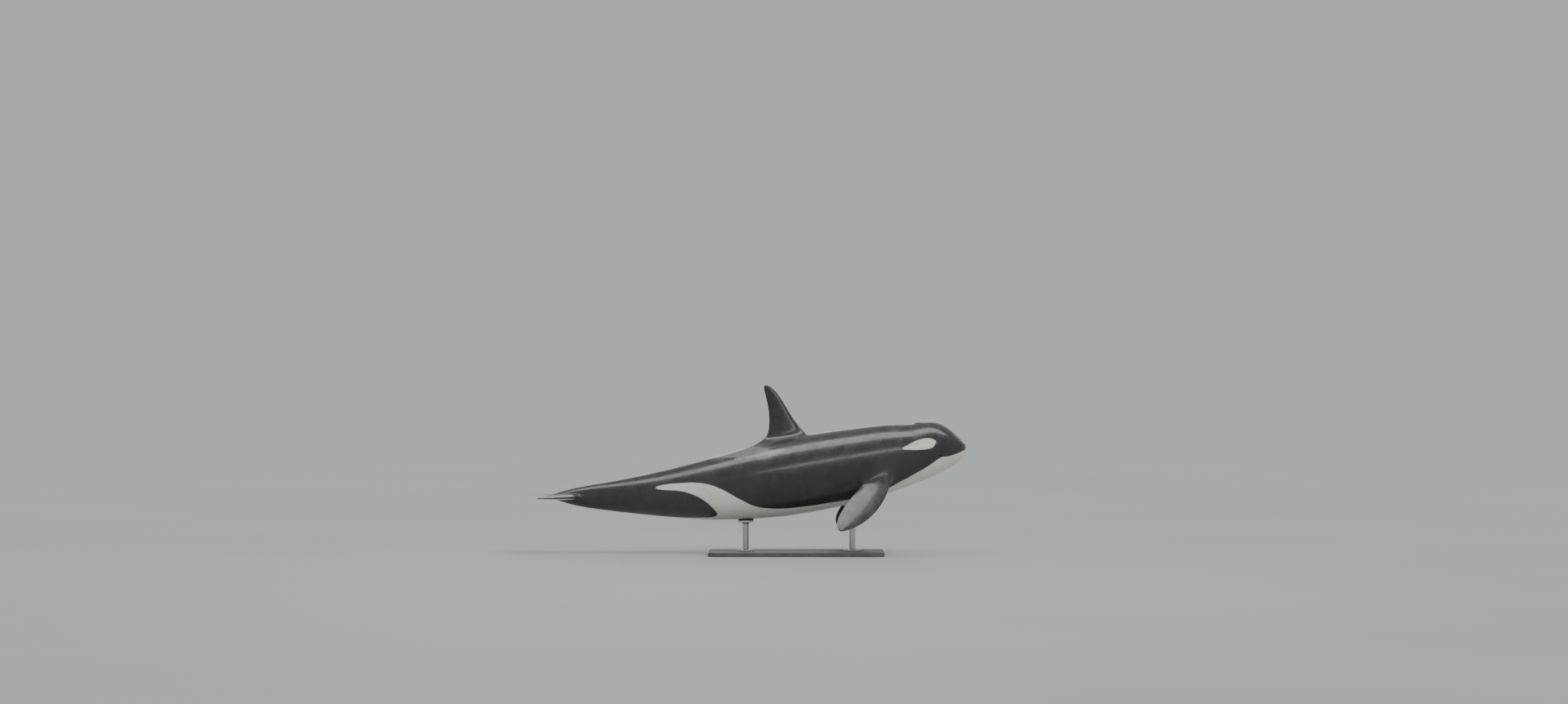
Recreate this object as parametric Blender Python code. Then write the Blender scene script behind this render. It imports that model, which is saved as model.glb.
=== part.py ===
"""A life-size orca, coming up head first, held over a flat base by two short rods.

Metres, +Z up. The head points to +X and the animal's right side to -Y. The origin is the middle of
the base's underside. The body is one smooth surface over a cage of rings, from which the fins are
drawn out, and thin flat cuts part it into the pieces that a person would name.
"""

import math

import bmesh
import bpy
from mathutils import Vector

# Driving dimensions
BODY_LENGTH = 6.0
SNOUT_X = 2.423
SNOUT_Z = 1.523
GAP = 0.0003
SIDES = 24
KEEL_POWER = 1.35
KEEL_START = 0.55
KEEL_FULL = 0.85
SPINE_STEPS = 200
SURFACE_LEVELS = 1

# Pitch of the body's axis in degrees, head up, at fractions of the length from the snout
PITCH = (
    (0.0, 9.0),
    (0.14, 9.4),
    (0.34, 10.6),
    (0.46, 10.4),
    (0.6, 8.0),
    (0.76, 4.2),
    (0.88, 1.2),
    (1.0, -2.5),
)

# Fraction of the length, then height above the axis, depth below it and half width, each as a
# fraction of the length
PROFILE = (
    (0.0, -0.0100, 0.0100, 0.0000),
    (0.004, 0.0015, 0.0215, 0.0180),
    (0.012, 0.0150, 0.0308, 0.0300),
    (0.026, 0.0335, 0.0402, 0.0400),
    (0.046, 0.0536, 0.0495, 0.0495),
    (0.062, 0.0632, 0.0555, 0.0550),
    (0.078, 0.0682, 0.0608, 0.0596),
    (0.098, 0.0690, 0.0662, 0.0638),
    (0.121, 0.0692, 0.0715, 0.0680),
    (0.174, 0.0778, 0.0820, 0.0755),
    (0.264, 0.0842, 0.0935, 0.0855),
    (0.355, 0.0886, 0.0975, 0.0900),
    (0.440, 0.0885, 0.0960, 0.0880),
    (0.520, 0.0832, 0.0895, 0.0805),
    (0.600, 0.0740, 0.0795, 0.0690),
    (0.690, 0.0606, 0.0640, 0.0530),
    (0.780, 0.0462, 0.0475, 0.0365),
    (0.860, 0.0345, 0.0340, 0.0235),
    (0.920, 0.0255, 0.0245, 0.0165),
    (0.965, 0.0150, 0.0145, 0.0135),
    (1.000, 0.0022, 0.0022, 0.0100),
)

# Stations of the cage's rings. The fins grow from the faces between the named ones.
HEAD_STATIONS = (0.004, 0.012, 0.023, 0.036, 0.050, 0.065, 0.081, 0.098, 0.118, 0.140, 0.163)
FLIPPER_STATIONS = (0.185, 0.205, 0.225, 0.245, 0.265)
CHEST_STATIONS = (0.298, 0.334)
FIN_STATIONS = (0.370, 0.396, 0.422, 0.449, 0.476, 0.502, 0.527)
LOIN_STATIONS = (0.578, 0.632, 0.690, 0.748, 0.806, 0.858, 0.896)
FLUKE_STATIONS = (0.924, 0.948, 0.974, 1.0)
BODY_STATIONS = FLIPPER_STATIONS + CHEST_STATIONS + FIN_STATIONS + LOIN_STATIONS
STATIONS = HEAD_STATIONS + BODY_STATIONS + FLUKE_STATIONS

# Cuts that part the body, as fractions of its length
CUTS = (
    ("head", 0.0, 0.150),
    ("neck", 0.150, 0.178),
    ("chest", 0.178, 0.355),
    ("midbody", 0.355, 0.560),
    ("loin", 0.560, 0.720),
    ("tail_stock", 0.720, 0.906),
    ("tail_end", 0.906, 1.05),
)

# The dorsal fin's edges in the middle plane, as control points of one cubic curve each
FIN_LEAD = ((0.205, 0.0, 1.705), (-0.10, 0.0, 1.86), (-0.145, 0.0, 2.27), (-0.385, 0.0, 2.430))
FIN_TRAIL = ((-0.480, 0.0, 1.590), (-0.325, 0.0, 1.74), (-0.365, 0.0, 2.14), (-0.490, 0.0, 2.415))
FIN_LEVELS = (0.08, 0.25, 0.46, 0.68, 0.88, 0.97, 1.0)
FIN_THICKNESS = 0.134
FIN_TAPER = 0.8
FIN_TIP_THICKNESS = 0.016
FIN_CUT = 0.045

# A flipper: a paddle that hangs outwards, down and back. Its edges run from the root to the tip, as
# control points in metres down the paddle and ahead along the body.
FLIPPER_LEAD = ((0.0, 0.20), (0.36, 0.22), (0.86, -0.05), (0.83, -0.50))
FLIPPER_TRAIL = ((0.0, -0.185), (0.20, -0.29), (0.52, -0.71), (0.80, -0.56))
FLIPPER_DROOP = 50.0
FLIPPER_ANGLE = 120.0
FLIPPER_THICKNESS = 0.115
FLIPPER_TIP_THICKNESS = 0.023
FLIPPER_CUT = 0.03
FLIPPER_LEVELS = (0.04, 0.16, 0.34, 0.56, 0.78, 0.93, 1.0)

# The flukes: half of their spread and their thickness at the root. Their edges run from the root to
# the tip, as control points: fraction of the way out, and metres behind the root's front or back.
FLUKE_HALF_SPREAD = 0.83
FLUKE_ROOT = 0.07
FLUKE_LEAD = ((0.0, 0.0), (0.30, 0.13), (0.78, 0.28), (1.0, 0.56))
FLUKE_TRAIL = ((0.0, 0.0), (0.14, 0.12), (0.50, 0.03), (1.0, 0.165))
FLUKE_LEVELS = (0.06, 0.22, 0.44, 0.68, 0.88, 0.97, 1.0)
FLUKE_THICKNESS = 0.119
FLUKE_TAPER = 0.85
FLUKE_TIP_THICKNESS = 0.014
FLUKE_CUT = 0.118
NOTCH_DEPTH = 0.02

# All the blades: where the tip starts to round off, how much of the chord it loses, the ends of the
# chord that keep a blunt edge, and half the thickness of that edge
TIP_ROUND = 0.90
TIP_LOSS = 0.8
EDGE_FRONT = 0.03
EDGE_REAR = 0.98
EDGE_HALF = 0.003

# Head details
EYE_STATION = 0.0800
EYE_ANGLE = 91.5
EYE_RADIUS = 0.027
EYE_PROUD = 0.0045
EYE_SIDES = 20
EYE_RINGS = 12
LID_LENGTH = 0.036
LID_HEIGHT = 0.023
LID_TUBE = 0.010
LID_SUNK = 0.0050
LID_STEPS = 20
LID_SIDES = 6

# The line of the mouth: fraction of the length, and height off the axis as a fraction of it
MOUTH = (
    (0.0, -0.0105),
    (0.012, -0.0140),
    (0.030, -0.0180),
    (0.048, -0.0200),
    (0.060, -0.0188),
    (0.068, -0.0155),
)
MOUTH_STEPS = 22
MOUTH_WIDTH = 0.012
MOUTH_DEPTH = 0.016
LIP_WIDTH = 0.040
LIP_PROUD = 0.0040
LIP_ROOT = 0.010
LIP_TAPER = 0.25
LIP_GROWTH = 0.18
JAW_STEPS = 14
JAW_SLANT = 0.03
JAW_REACH = 0.6
BLOWHOLE_STATION = 0.1080
BLOWHOLE_SHIFT = 0.008
BLOWHOLE_RADIUS = 0.062
BLOWHOLE_SWEEP = 74.0
BLOWHOLE_STEPS = 12
BLOWHOLE_WIDTH = 0.016
BLOWHOLE_DEPTH = 0.024
CUTTER_PROUD = 0.03
FLOOR_PART = 0.35

# Stand
BASE_LENGTH = 2.50
BASE_WIDTH = 1.20
BASE_HEIGHT = 0.060
BASE_CORNER = 0.12
CORNER_STEPS = 6
EDGE_BEVEL = 0.012
ROD_RADIUS = 0.045
ROD_SIDES = 24
ROD_PLACES = (("front", 0.80), ("rear", -0.72))
FLANGE_RADIUS = 0.13
FLANGE_HEIGHT = 0.018
PAD_RADIUS = 0.115
PAD_HEIGHT = 0.045
DISC_SIDES = 32
OVERCUT = 0.06


def clear_scene():
    for item in list(bpy.data.objects):
        bpy.data.objects.remove(item, do_unlink=True)


def material(name, colour, roughness, metallic=0.0):
    made = bpy.data.materials.new(name)
    made.use_nodes = True
    shader = made.node_tree.nodes["Principled BSDF"]
    shader.inputs["Base Color"].default_value = (*colour, 1.0)
    shader.inputs["Roughness"].default_value = roughness
    shader.inputs["Metallic"].default_value = metallic
    return made


def smooth(table, place, column=1):
    """A column of a table at a place, along a smooth curve through its rows. The rows are spread by
    the root of their place, which rounds the snout."""
    spots = [math.sqrt(row[0]) for row in table]
    values = [row[column] for row in table]
    spot = math.sqrt(min(max(place, table[0][0]), table[-1][0]))
    last = len(spots) - 1
    right = next((k for k in range(1, last) if spots[k] >= spot), last)
    left = right - 1

    def slope(k):
        if k in (0, last):
            near = 1 if k == 0 else last - 1
            return (values[near] - values[k]) / (spots[near] - spots[k])
        before = spots[k] - spots[k - 1]
        after = spots[k + 1] - spots[k]
        rise_before = (values[k] - values[k - 1]) / before
        rise_after = (values[k + 1] - values[k]) / after
        return (rise_before * after + rise_after * before) / (before + after)

    width = spots[right] - spots[left]
    t = (spot - spots[left]) / width
    return (
        (2 * t ** 3 - 3 * t ** 2 + 1) * values[left]
        + (t ** 3 - 2 * t ** 2 + t) * width * slope(left)
        + (3 * t ** 2 - 2 * t ** 3) * values[right]
        + (t ** 3 - t ** 2) * width * slope(right)
    )


def spine(place):
    """The axis's point and pitch at a fraction of the length."""
    steps = max(1, round(place * SPINE_STEPS))
    x = SNOUT_X
    z = SNOUT_Z - smooth(PROFILE, 0.0) * BODY_LENGTH
    for k in range(steps):
        pitch = math.radians(smooth(PITCH, place * (k + 0.5) / steps))
        x -= math.cos(pitch) * BODY_LENGTH * place / steps
        z -= math.sin(pitch) * BODY_LENGTH * place / steps
    return Vector((x, 0.0, z)), math.radians(smooth(PITCH, place))


def forward(pitch):
    return Vector((math.cos(pitch), 0.0, math.sin(pitch)))


def upward(pitch):
    return Vector((-math.sin(pitch), 0.0, math.cos(pitch)))


def section(place, degrees):
    """A point of the body at a station: 0 degrees is the back, 90 the left flank, 180 the belly."""
    centre, pitch = spine(place)
    angle = math.radians(degrees)
    keel = min(max((place - KEEL_START) / (KEEL_FULL - KEEL_START), 0.0), 1.0)
    power = 1.0 + (KEEL_POWER - 1.0) * keel * keel * (3 - 2 * keel)
    rise = math.cos(angle)
    height = smooth(PROFILE, place, 1 if rise > 0 else 2) * BODY_LENGTH
    across = math.copysign(abs(math.sin(angle)) ** power, math.sin(angle))
    width = smooth(PROFILE, place, 3) * BODY_LENGTH
    return centre + upward(pitch) * rise * height + Vector((0.0, across * width, 0.0))


def outward(place, degrees):
    """The direction away from the body at a point of a section."""
    along = section(place + 0.002, degrees) - section(place - 0.002, degrees)
    around = section(place, degrees + 1.0) - section(place, degrees - 1.0)
    return around.cross(along).normalized()


def bezier(points, t):
    a, b, c, d = (Vector(p) for p in points)
    return a * (1 - t) ** 3 + b * 3 * t * (1 - t) ** 2 + c * 3 * t * t * (1 - t) + d * t ** 3


def foil(chord):
    """The half thickness of a streamlined section, 1 at its thickest, at a fraction of its chord.
    This is the usual polynomial of a symmetrical aerofoil."""
    c = min(max(chord, 0.0), 1.0)
    rounding = 2.969 * math.sqrt(c)
    return rounding - 1.26 * c - 3.516 * c ** 2 + 2.843 * c ** 3 - 1.015 * c ** 4


def add_body_rings(mesh):
    rings = []
    for place in STATIONS:
        rings.append([mesh.verts.new(section(place, 360.0 * k / SIDES)) for k in range(SIDES)])
    for front, back in zip(rings, rings[1:]):
        for k in range(SIDES):
            after = (k + 1) % SIDES
            mesh.faces.new((front[k], front[after], back[after], back[k]))
    return rings


def close_end(mesh, ring, reach):
    """Closes an end with rows of faces across it, bowed out along the middle plane by reach."""
    half = SIDES // 2
    middle = [ring[0]]
    for k in range(1, half):
        bow = math.sin(math.pi * k / half)
        centre = (ring[k].co + ring[SIDES - k].co) / 2
        middle.append(mesh.verts.new(centre + reach * bow))
    middle.append(ring[half])
    for k in range(half):
        left = [ring[k], ring[k + 1]]
        right = [ring[(SIDES - k) % SIDES], ring[SIDES - k - 1]]
        first = [middle[k], middle[k + 1], left[1], left[0]]
        second = [right[0], right[1], middle[k + 1], middle[k]]
        for corners in (first, second):
            kept = list(dict.fromkeys(corners))
            mesh.faces.new(kept)


def patch(rings, rows, columns):
    """The vertices of a rectangle of the cage, by their row and column there."""
    first = STATIONS.index(rows[0])
    return {
        rings[first + a][columns[b] % SIDES]: (a, b)
        for a in range(len(rows))
        for b in range(len(columns))
    }


def draw_out(mesh, spots, levels, place):
    """Draws a patch of the cage out in steps; place(level, row, column) gives each vertex's point."""
    faces = [face for face in mesh.faces if all(corner in spots for corner in face.verts)]
    for level in levels:
        grown = bmesh.ops.extrude_face_region(mesh, geom=faces)["geom"]
        by_point = {tuple(vert.co): spot for vert, spot in spots.items()}
        bmesh.ops.delete(mesh, geom=faces, context="FACES")
        verts = [item for item in grown if isinstance(item, bmesh.types.BMVert)]
        faces = [item for item in grown if isinstance(item, bmesh.types.BMFace)]
        spots = {vert: by_point[tuple(vert.co)] for vert in verts}
        for vert, (row, column) in spots.items():
            vert.co = place(level, row, column)


def blade_point(lead, trail, normal, thickness, spot, level):
    """A point of a fin's section between its leading and trailing points; the tip is rounded."""
    row, rows, column = spot
    past = min(max(level - TIP_ROUND, 0.0) / (1 - TIP_ROUND), 0.97)
    pull = (1 - math.sqrt(1 - past ** 2)) * TIP_LOSS
    middle = (lead + trail) / 2
    lead = lead.lerp(middle, pull)
    trail = trail.lerp(middle, pull)
    chord = row / (rows - 1)
    if column == 1:
        return lead.lerp(trail, chord)
    chord = min(max(chord, EDGE_FRONT), EDGE_REAR)
    half = max(foil(chord) * thickness / 2, EDGE_HALF)
    return lead.lerp(trail, chord) + normal * (1 - column) * half


def thinned(root, tip, level, power=1.0):
    """A blade's thickness at a level, from its root's to its tip's."""
    return tip + (root - tip) * (1 - level) ** power


def add_dorsal_fin(mesh, rings):
    spots = patch(rings, FIN_STATIONS, (1, 0, SIDES - 1))
    rows = len(FIN_STATIONS)
    across = Vector((0, 1, 0))

    def place(level, row, column):
        thickness = thinned(FIN_THICKNESS, FIN_TIP_THICKNESS, level, FIN_TAPER)
        lead = bezier(FIN_LEAD, level)
        trail = bezier(FIN_TRAIL, level)
        return blade_point(lead, trail, across, thickness, (row, rows, column), level)

    draw_out(mesh, spots, FIN_LEVELS, place)


def add_flipper(mesh, rings, side):
    columns = (7, 8, 9) if side > 0 else (SIDES - 7, SIDES - 8, SIDES - 9)
    spots = patch(rings, FLIPPER_STATIONS, columns)
    middle = (FLIPPER_STATIONS[0] + FLIPPER_STATIONS[-1]) / 2
    root = section(middle, FLIPPER_ANGLE * side)
    ahead = forward(spine(middle)[1])
    droop = math.radians(FLIPPER_DROOP)
    down = Vector((0, side * math.cos(droop), -math.sin(droop)))
    normal = ahead.cross(down).normalized() * side
    rows = len(FLIPPER_STATIONS)

    def edge(points, level):
        spot = bezier([(*point, 0.0) for point in points], level)
        return root + down * spot.x + ahead * spot.y

    def place(level, row, column):
        thickness = thinned(FLIPPER_THICKNESS, FLIPPER_TIP_THICKNESS, level)
        lead = edge(FLIPPER_LEAD, level)
        trail = edge(FLIPPER_TRAIL, level)
        return blade_point(lead, trail, normal, thickness, (row, rows, column), level)

    draw_out(mesh, spots, FLIPPER_LEVELS, place)


def add_fluke(mesh, rings, side):
    columns = (5, 6, 7) if side > 0 else (SIDES - 5, SIDES - 6, SIDES - 7)
    spots = patch(rings, FLUKE_STATIONS, columns)
    front, pitch = spine(FLUKE_STATIONS[0])
    back = spine(FLUKE_STATIONS[-1])[0]
    ahead = forward(pitch)
    rows = len(FLUKE_STATIONS)

    def edge(start, points, level):
        spot = bezier([(*point, 0.0) for point in points], level)
        across = FLUKE_ROOT + (FLUKE_HALF_SPREAD - FLUKE_ROOT) * spot.x
        return start + Vector((0, side * across, 0)) - ahead * spot.y

    def place(level, row, column):
        thickness = thinned(FLUKE_THICKNESS, FLUKE_TIP_THICKNESS, level, FLUKE_TAPER)
        lead = edge(front, FLUKE_LEAD, level)
        trail = edge(back, FLUKE_TRAIL, level)
        return blade_point(lead, trail, upward(pitch), thickness, (row, rows, column), level)

    draw_out(mesh, spots, FLUKE_LEVELS, place)


def whole_body():
    """The whole animal as one closed smooth mesh."""
    mesh = bmesh.new()
    rings = add_body_rings(mesh)
    front_pitch = spine(0.0)[1]
    close_end(mesh, rings[0], forward(front_pitch) * STATIONS[0] * BODY_LENGTH)
    close_end(mesh, rings[-1], Vector((NOTCH_DEPTH, 0, 0)))
    add_dorsal_fin(mesh, rings)
    for side in (1, -1):
        add_flipper(mesh, rings, side)
        add_fluke(mesh, rings, side)
    bmesh.ops.recalc_face_normals(mesh, faces=mesh.faces)
    item = to_object("whole", mesh)
    surface = item.modifiers.new("surface", "SUBSURF")
    surface.levels = SURFACE_LEVELS
    surface.render_levels = SURFACE_LEVELS
    bake(item)
    return item


def to_object(name, mesh):
    data = bpy.data.meshes.new(name)
    mesh.to_mesh(data)
    mesh.free()
    item = bpy.data.objects.new(name, data)
    bpy.context.scene.collection.objects.link(item)
    return item


def bake(item):
    """Applies an object's modifiers to its mesh."""
    graph = bpy.context.evaluated_depsgraph_get()
    data = bpy.data.meshes.new_from_object(item.evaluated_get(graph))
    item.modifiers.clear()
    item.data = data


def combine(item, other, operation, solver="EXACT"):
    """Cuts or joins one solid with another, which is then removed."""
    step = item.modifiers.new("combine", "BOOLEAN")
    step.operation = operation
    step.solver = solver
    step.object = other
    bake(item)
    bpy.data.objects.remove(other, do_unlink=True)


def keep_side(item, point, direction):
    """Keeps the part of a closed mesh on the side that direction points to, and closes the cut."""
    mesh = bmesh.new()
    mesh.from_mesh(item.data)
    whole = list(mesh.verts) + list(mesh.edges) + list(mesh.faces)
    plane = {"plane_co": point, "plane_no": direction}
    cut = bmesh.ops.bisect_plane(mesh, geom=whole, dist=1e-6, clear_inner=True, **plane)
    rim = [edge for edge in cut["geom_cut"] if isinstance(edge, bmesh.types.BMEdge)]
    bmesh.ops.triangle_fill(mesh, edges=rim, use_beauty=True, use_dissolve=False)
    bmesh.ops.recalc_face_normals(mesh, faces=mesh.faces)
    mesh.to_mesh(item.data)
    mesh.free()


def keep_largest(item):
    """Keeps only the largest closed surface of a mesh."""
    mesh = bmesh.new()
    mesh.from_mesh(item.data)
    left = set(mesh.faces)
    groups = []
    while left:
        stack = [left.pop()]
        group = []
        while stack:
            face = stack.pop()
            group.append(face)
            for edge in face.edges:
                for near in edge.link_faces:
                    if near in left:
                        left.remove(near)
                        stack.append(near)
        groups.append(group)
    groups.sort(key=lambda group: sum(face.calc_area() for face in group))
    for group in groups[:-1]:
        bmesh.ops.delete(mesh, geom=group, context="FACES")
    mesh.to_mesh(item.data)
    mesh.free()


def copy_of(item, name):
    twin = bpy.data.objects.new(name, item.data.copy())
    bpy.context.scene.collection.objects.link(twin)
    return twin


def slice_of(item, name, first, last):
    """The length of the body between two stations, less half of the gap at each cut."""
    piece = copy_of(item, name)
    for place, sense in ((first, -1), (last, 1)):
        if 0.0 < place < 1.0:
            point, pitch = spine(place)
            direction = forward(pitch) * sense
            keep_side(piece, point + direction * GAP / 2, direction)
    return piece


def part_fin(trunk, name, point, direction):
    """Parts what stands beyond a plane from a trunk piece, and returns it as a piece of its own."""
    fin = copy_of(trunk, name)
    keep_side(fin, point + direction * GAP / 2, direction)
    keep_side(trunk, point - direction * GAP / 2, -direction)
    for item in (fin, trunk):
        keep_largest(item)
    return fin


def sweep(name, route, profile, sizes):
    """A closed bar along a route of points of the surface and their outward directions. Its profile
    gives each corner's distance to the side and outwards, times the size at that point."""
    mesh = bmesh.new()
    rings = []
    for k, (point, direction) in enumerate(route):
        before = route[max(k - 1, 0)][0]
        after = route[min(k + 1, len(route) - 1)][0]
        side = (after - before).cross(direction).normalized()
        corners = [point + (side * across + direction * out) * sizes[k] for across, out in profile]
        rings.append([mesh.verts.new(corner) for corner in corners])
    count = len(profile)
    for first, second in zip(rings, rings[1:]):
        for k in range(count):
            after = (k + 1) % count
            mesh.faces.new((first[k], first[after], second[after], second[k]))
    mesh.faces.new(rings[0])
    mesh.faces.new(rings[-1])
    bmesh.ops.recalc_face_normals(mesh, faces=mesh.faces)
    return to_object(name, mesh)


def groove(name, route, width, depth):
    """A cutter that sweeps a blunt wedge along the surface, its narrow side inside the body."""
    floor = width * FLOOR_PART / 2
    mouth = floor + (width / 2 - floor) * (1 + CUTTER_PROUD / depth)
    wedge = ((-floor, -depth), (floor, -depth), (mouth, CUTTER_PROUD), (-mouth, CUTTER_PROUD))
    return sweep(name, route, wedge, [1.0] * len(route))


def mouth_angle(place):
    """Where the line of the mouth crosses a section, in degrees from the back."""
    low = smooth(MOUTH, place)
    column = 1 if low > 0 else 2
    return math.degrees(math.acos(max(-1.0, low / smooth(PROFILE, place, column))))


def mouth_route(head):
    """Points of the line of the mouth on the head, from the left corner round the snout to the
    right one, with the directions outwards there."""
    end = MOUTH[-1][0]
    start = STATIONS[0]
    half = []
    for k in range(MOUTH_STEPS + 1):
        part = 1 - k / MOUTH_STEPS
        place = start + (end - start) * part * math.sqrt(part)
        angle = mouth_angle(place)
        half.append((section(place, angle), outward(place, angle)))
    tip, pitch = spine(0.0)
    nose = [(tip + upward(pitch) * smooth(MOUTH, 0.0) * BODY_LENGTH, forward(pitch))]
    other = Vector((1, -1, 1))
    route = half + nose + [(point * other, out * other) for point, out in reversed(half)]
    return [(head.closest_point_on_mesh(point)[1], out) for point, out in route]


def shape_mouth(head):
    """Raises the lips as one low ridge, thinner towards the corners, and parts them by a groove."""
    route = mouth_route(head)
    lips = route[1:-1]
    last = len(lips) - 1
    sizes = [min(1.0, LIP_TAPER + LIP_GROWTH * min(k, last - k)) for k in range(last + 1)]
    half = LIP_WIDTH / 2
    ridge = (
        (0.0, -LIP_ROOT),
        (half, -LIP_PROUD),
        (half * 0.6, LIP_PROUD * 0.6),
        (0.0, LIP_PROUD),
        (-half * 0.6, LIP_PROUD * 0.6),
        (-half, -LIP_PROUD),
    )
    combine(head, sweep("lips", lips, ridge, sizes), "UNION")
    combine(head, groove("mouth", route, MOUTH_WIDTH, MOUTH_DEPTH), "DIFFERENCE")


def jaw_prism(name, shift):
    """The space below the line of the mouth and ahead of the throat, right through the head."""
    outline = []
    end = MOUTH[-1][0]
    for k in range(JAW_STEPS + 1):
        place = end * (k / JAW_STEPS) ** 2
        centre, pitch = spine(place)
        outline.append(centre + upward(pitch) * (smooth(MOUTH, place) * BODY_LENGTH - shift))
    tip_pitch = spine(0.0)[1]
    front = outline[0] + forward(tip_pitch) * JAW_REACH
    throat, pitch = spine(end + JAW_SLANT)
    outline[-1] = outline[-1] + forward(pitch) * shift
    below = throat - upward(pitch) * JAW_REACH + forward(pitch) * shift
    outline = [front] + outline + [below, front - Vector((0, 0, JAW_REACH))]
    mesh = bmesh.new()
    near = [mesh.verts.new(point + Vector((0, -JAW_REACH, 0))) for point in outline]
    far = [mesh.verts.new(point + Vector((0, JAW_REACH, 0))) for point in outline]
    mesh.faces.new(near)
    mesh.faces.new(far)
    for k in range(len(outline)):
        after = (k + 1) % len(outline)
        mesh.faces.new((near[k], near[after], far[after], far[k]))
    bmesh.ops.recalc_face_normals(mesh, faces=mesh.faces)
    return to_object(name, mesh)


def part_jaw(head):
    jaw = copy_of(head, "lower_jaw")
    combine(jaw, jaw_prism("jaw_space", GAP), "INTERSECT", "MANIFOLD")
    combine(head, jaw_prism("jaw_space", 0.0), "DIFFERENCE", "MANIFOLD")
    for item in (head, jaw):
        keep_largest(item)
    return jaw


def cut_blowhole(head):
    """The blowhole is one crescent slit across the crown, its horns forward."""
    route = []
    for k in range(BLOWHOLE_STEPS + 1):
        turn = math.radians(BLOWHOLE_SWEEP * (2 * k / BLOWHOLE_STEPS - 1))
        reach = BLOWHOLE_RADIUS * math.cos(turn) / BODY_LENGTH
        place = BLOWHOLE_STATION - BLOWHOLE_SHIFT + reach
        width = smooth(PROFILE, place, 3) * BODY_LENGTH
        angle = math.degrees(math.asin(BLOWHOLE_RADIUS * math.sin(turn) / width))
        route.append((section(place, angle), outward(place, angle)))
    combine(head, groove("blowhole_slit", route, BLOWHOLE_WIDTH, BLOWHOLE_DEPTH), "DIFFERENCE")


def ball(name, centre, radius):
    mesh = bmesh.new()
    bmesh.ops.create_uvsphere(mesh, u_segments=EYE_SIDES, v_segments=EYE_RINGS, radius=radius)
    bmesh.ops.translate(mesh, verts=mesh.verts, vec=centre)
    return to_object(name, mesh)


def lid_ring(name, centre, ahead, out):
    """The ring of the lids round an eye, a rounded ridge that lies on the skin."""
    up = out.cross(ahead).normalized()
    mesh = bmesh.new()
    rings = []
    for k in range(LID_STEPS):
        turn = 2 * math.pi * k / LID_STEPS
        spoke = ahead * math.cos(turn) * LID_LENGTH + up * math.sin(turn) * LID_HEIGHT
        ray = spoke.normalized()
        loop = []
        for j in range(LID_SIDES):
            roll = 2 * math.pi * j / LID_SIDES
            offset = ray * math.cos(roll) + out * math.sin(roll)
            loop.append(mesh.verts.new(centre + spoke + offset * LID_TUBE))
        rings.append(loop)
    for k in range(LID_STEPS):
        first = rings[k]
        second = rings[(k + 1) % LID_STEPS]
        for j in range(LID_SIDES):
            after = (j + 1) % LID_SIDES
            mesh.faces.new((first[j], first[after], second[after], second[j]))
    bmesh.ops.recalc_face_normals(mesh, faces=mesh.faces)
    return to_object(name, mesh)


def set_eyes(head):
    eyes = []
    aim = section(EYE_STATION, EYE_ANGLE)
    for name, side in (("eye_left", 1), ("eye_right", -1)):
        _, spot, out, _ = head.ray_cast(Vector((aim.x, side, aim.z)), Vector((0, -side, 0)))
        ahead = forward(spine(EYE_STATION)[1])
        ahead = (ahead - out * ahead.dot(out)).normalized()
        combine(head, lid_ring("lid", spot - out * LID_SUNK, ahead, out), "UNION")
        centre = spot - out * (EYE_RADIUS - EYE_PROUD)
        combine(head, ball("socket", centre, EYE_RADIUS + GAP), "DIFFERENCE")
        eyes.append(ball(name, centre, EYE_RADIUS))
    keep_largest(head)
    return eyes


def rounded_plate(name, length, width, height, corner, bottom):
    """A flat plate with round corners and a bevelled upper edge."""
    mesh = bmesh.new()
    outline = []
    for cx, cy, start in ((1, 1, 0), (-1, 1, 90), (-1, -1, 180), (1, -1, 270)):
        for k in range(CORNER_STEPS + 1):
            turn = math.radians(start + 90 * k / CORNER_STEPS)
            x = cx * (length / 2 - corner) + corner * math.cos(turn)
            y = cy * (width / 2 - corner) + corner * math.sin(turn)
            outline.append(mesh.verts.new((x, y, bottom)))
    lower = mesh.faces.new(outline)
    grown = bmesh.ops.extrude_face_region(mesh, geom=[lower])["geom"]
    upper = [item for item in grown if isinstance(item, bmesh.types.BMVert)]
    bmesh.ops.translate(mesh, verts=upper, vec=(0, 0, height))
    bmesh.ops.recalc_face_normals(mesh, faces=mesh.faces)
    rim = [edge for edge in mesh.edges if all(vert in upper for vert in edge.verts)]
    bmesh.ops.bevel(mesh, geom=rim, offset=EDGE_BEVEL, segments=2, profile=0.5, affect="EDGES")
    return to_object(name, mesh)


def disc(name, centre, radius, height, sides=DISC_SIDES):
    mesh = bmesh.new()
    size = {"radius1": radius, "radius2": radius, "depth": height}
    bmesh.ops.create_cone(mesh, cap_ends=True, segments=sides, **size)
    bmesh.ops.translate(mesh, verts=mesh.verts, vec=Vector(centre) + Vector((0, 0, height / 2)))
    return to_object(name, mesh)


def swollen(item, name):
    """A copy of the body grown by the gap, to cut what touches it."""
    twin = copy_of(item, name)
    mesh = bmesh.new()
    mesh.from_mesh(twin.data)
    mesh.normal_update()
    for vert in mesh.verts:
        vert.co += vert.normal * GAP
    mesh.to_mesh(twin.data)
    mesh.free()
    return twin


def belly_height(body, x):
    hit, point, _, _ = body.ray_cast(Vector((x, 0, -1)), Vector((0, 0, 1)))
    return point.z


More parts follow.
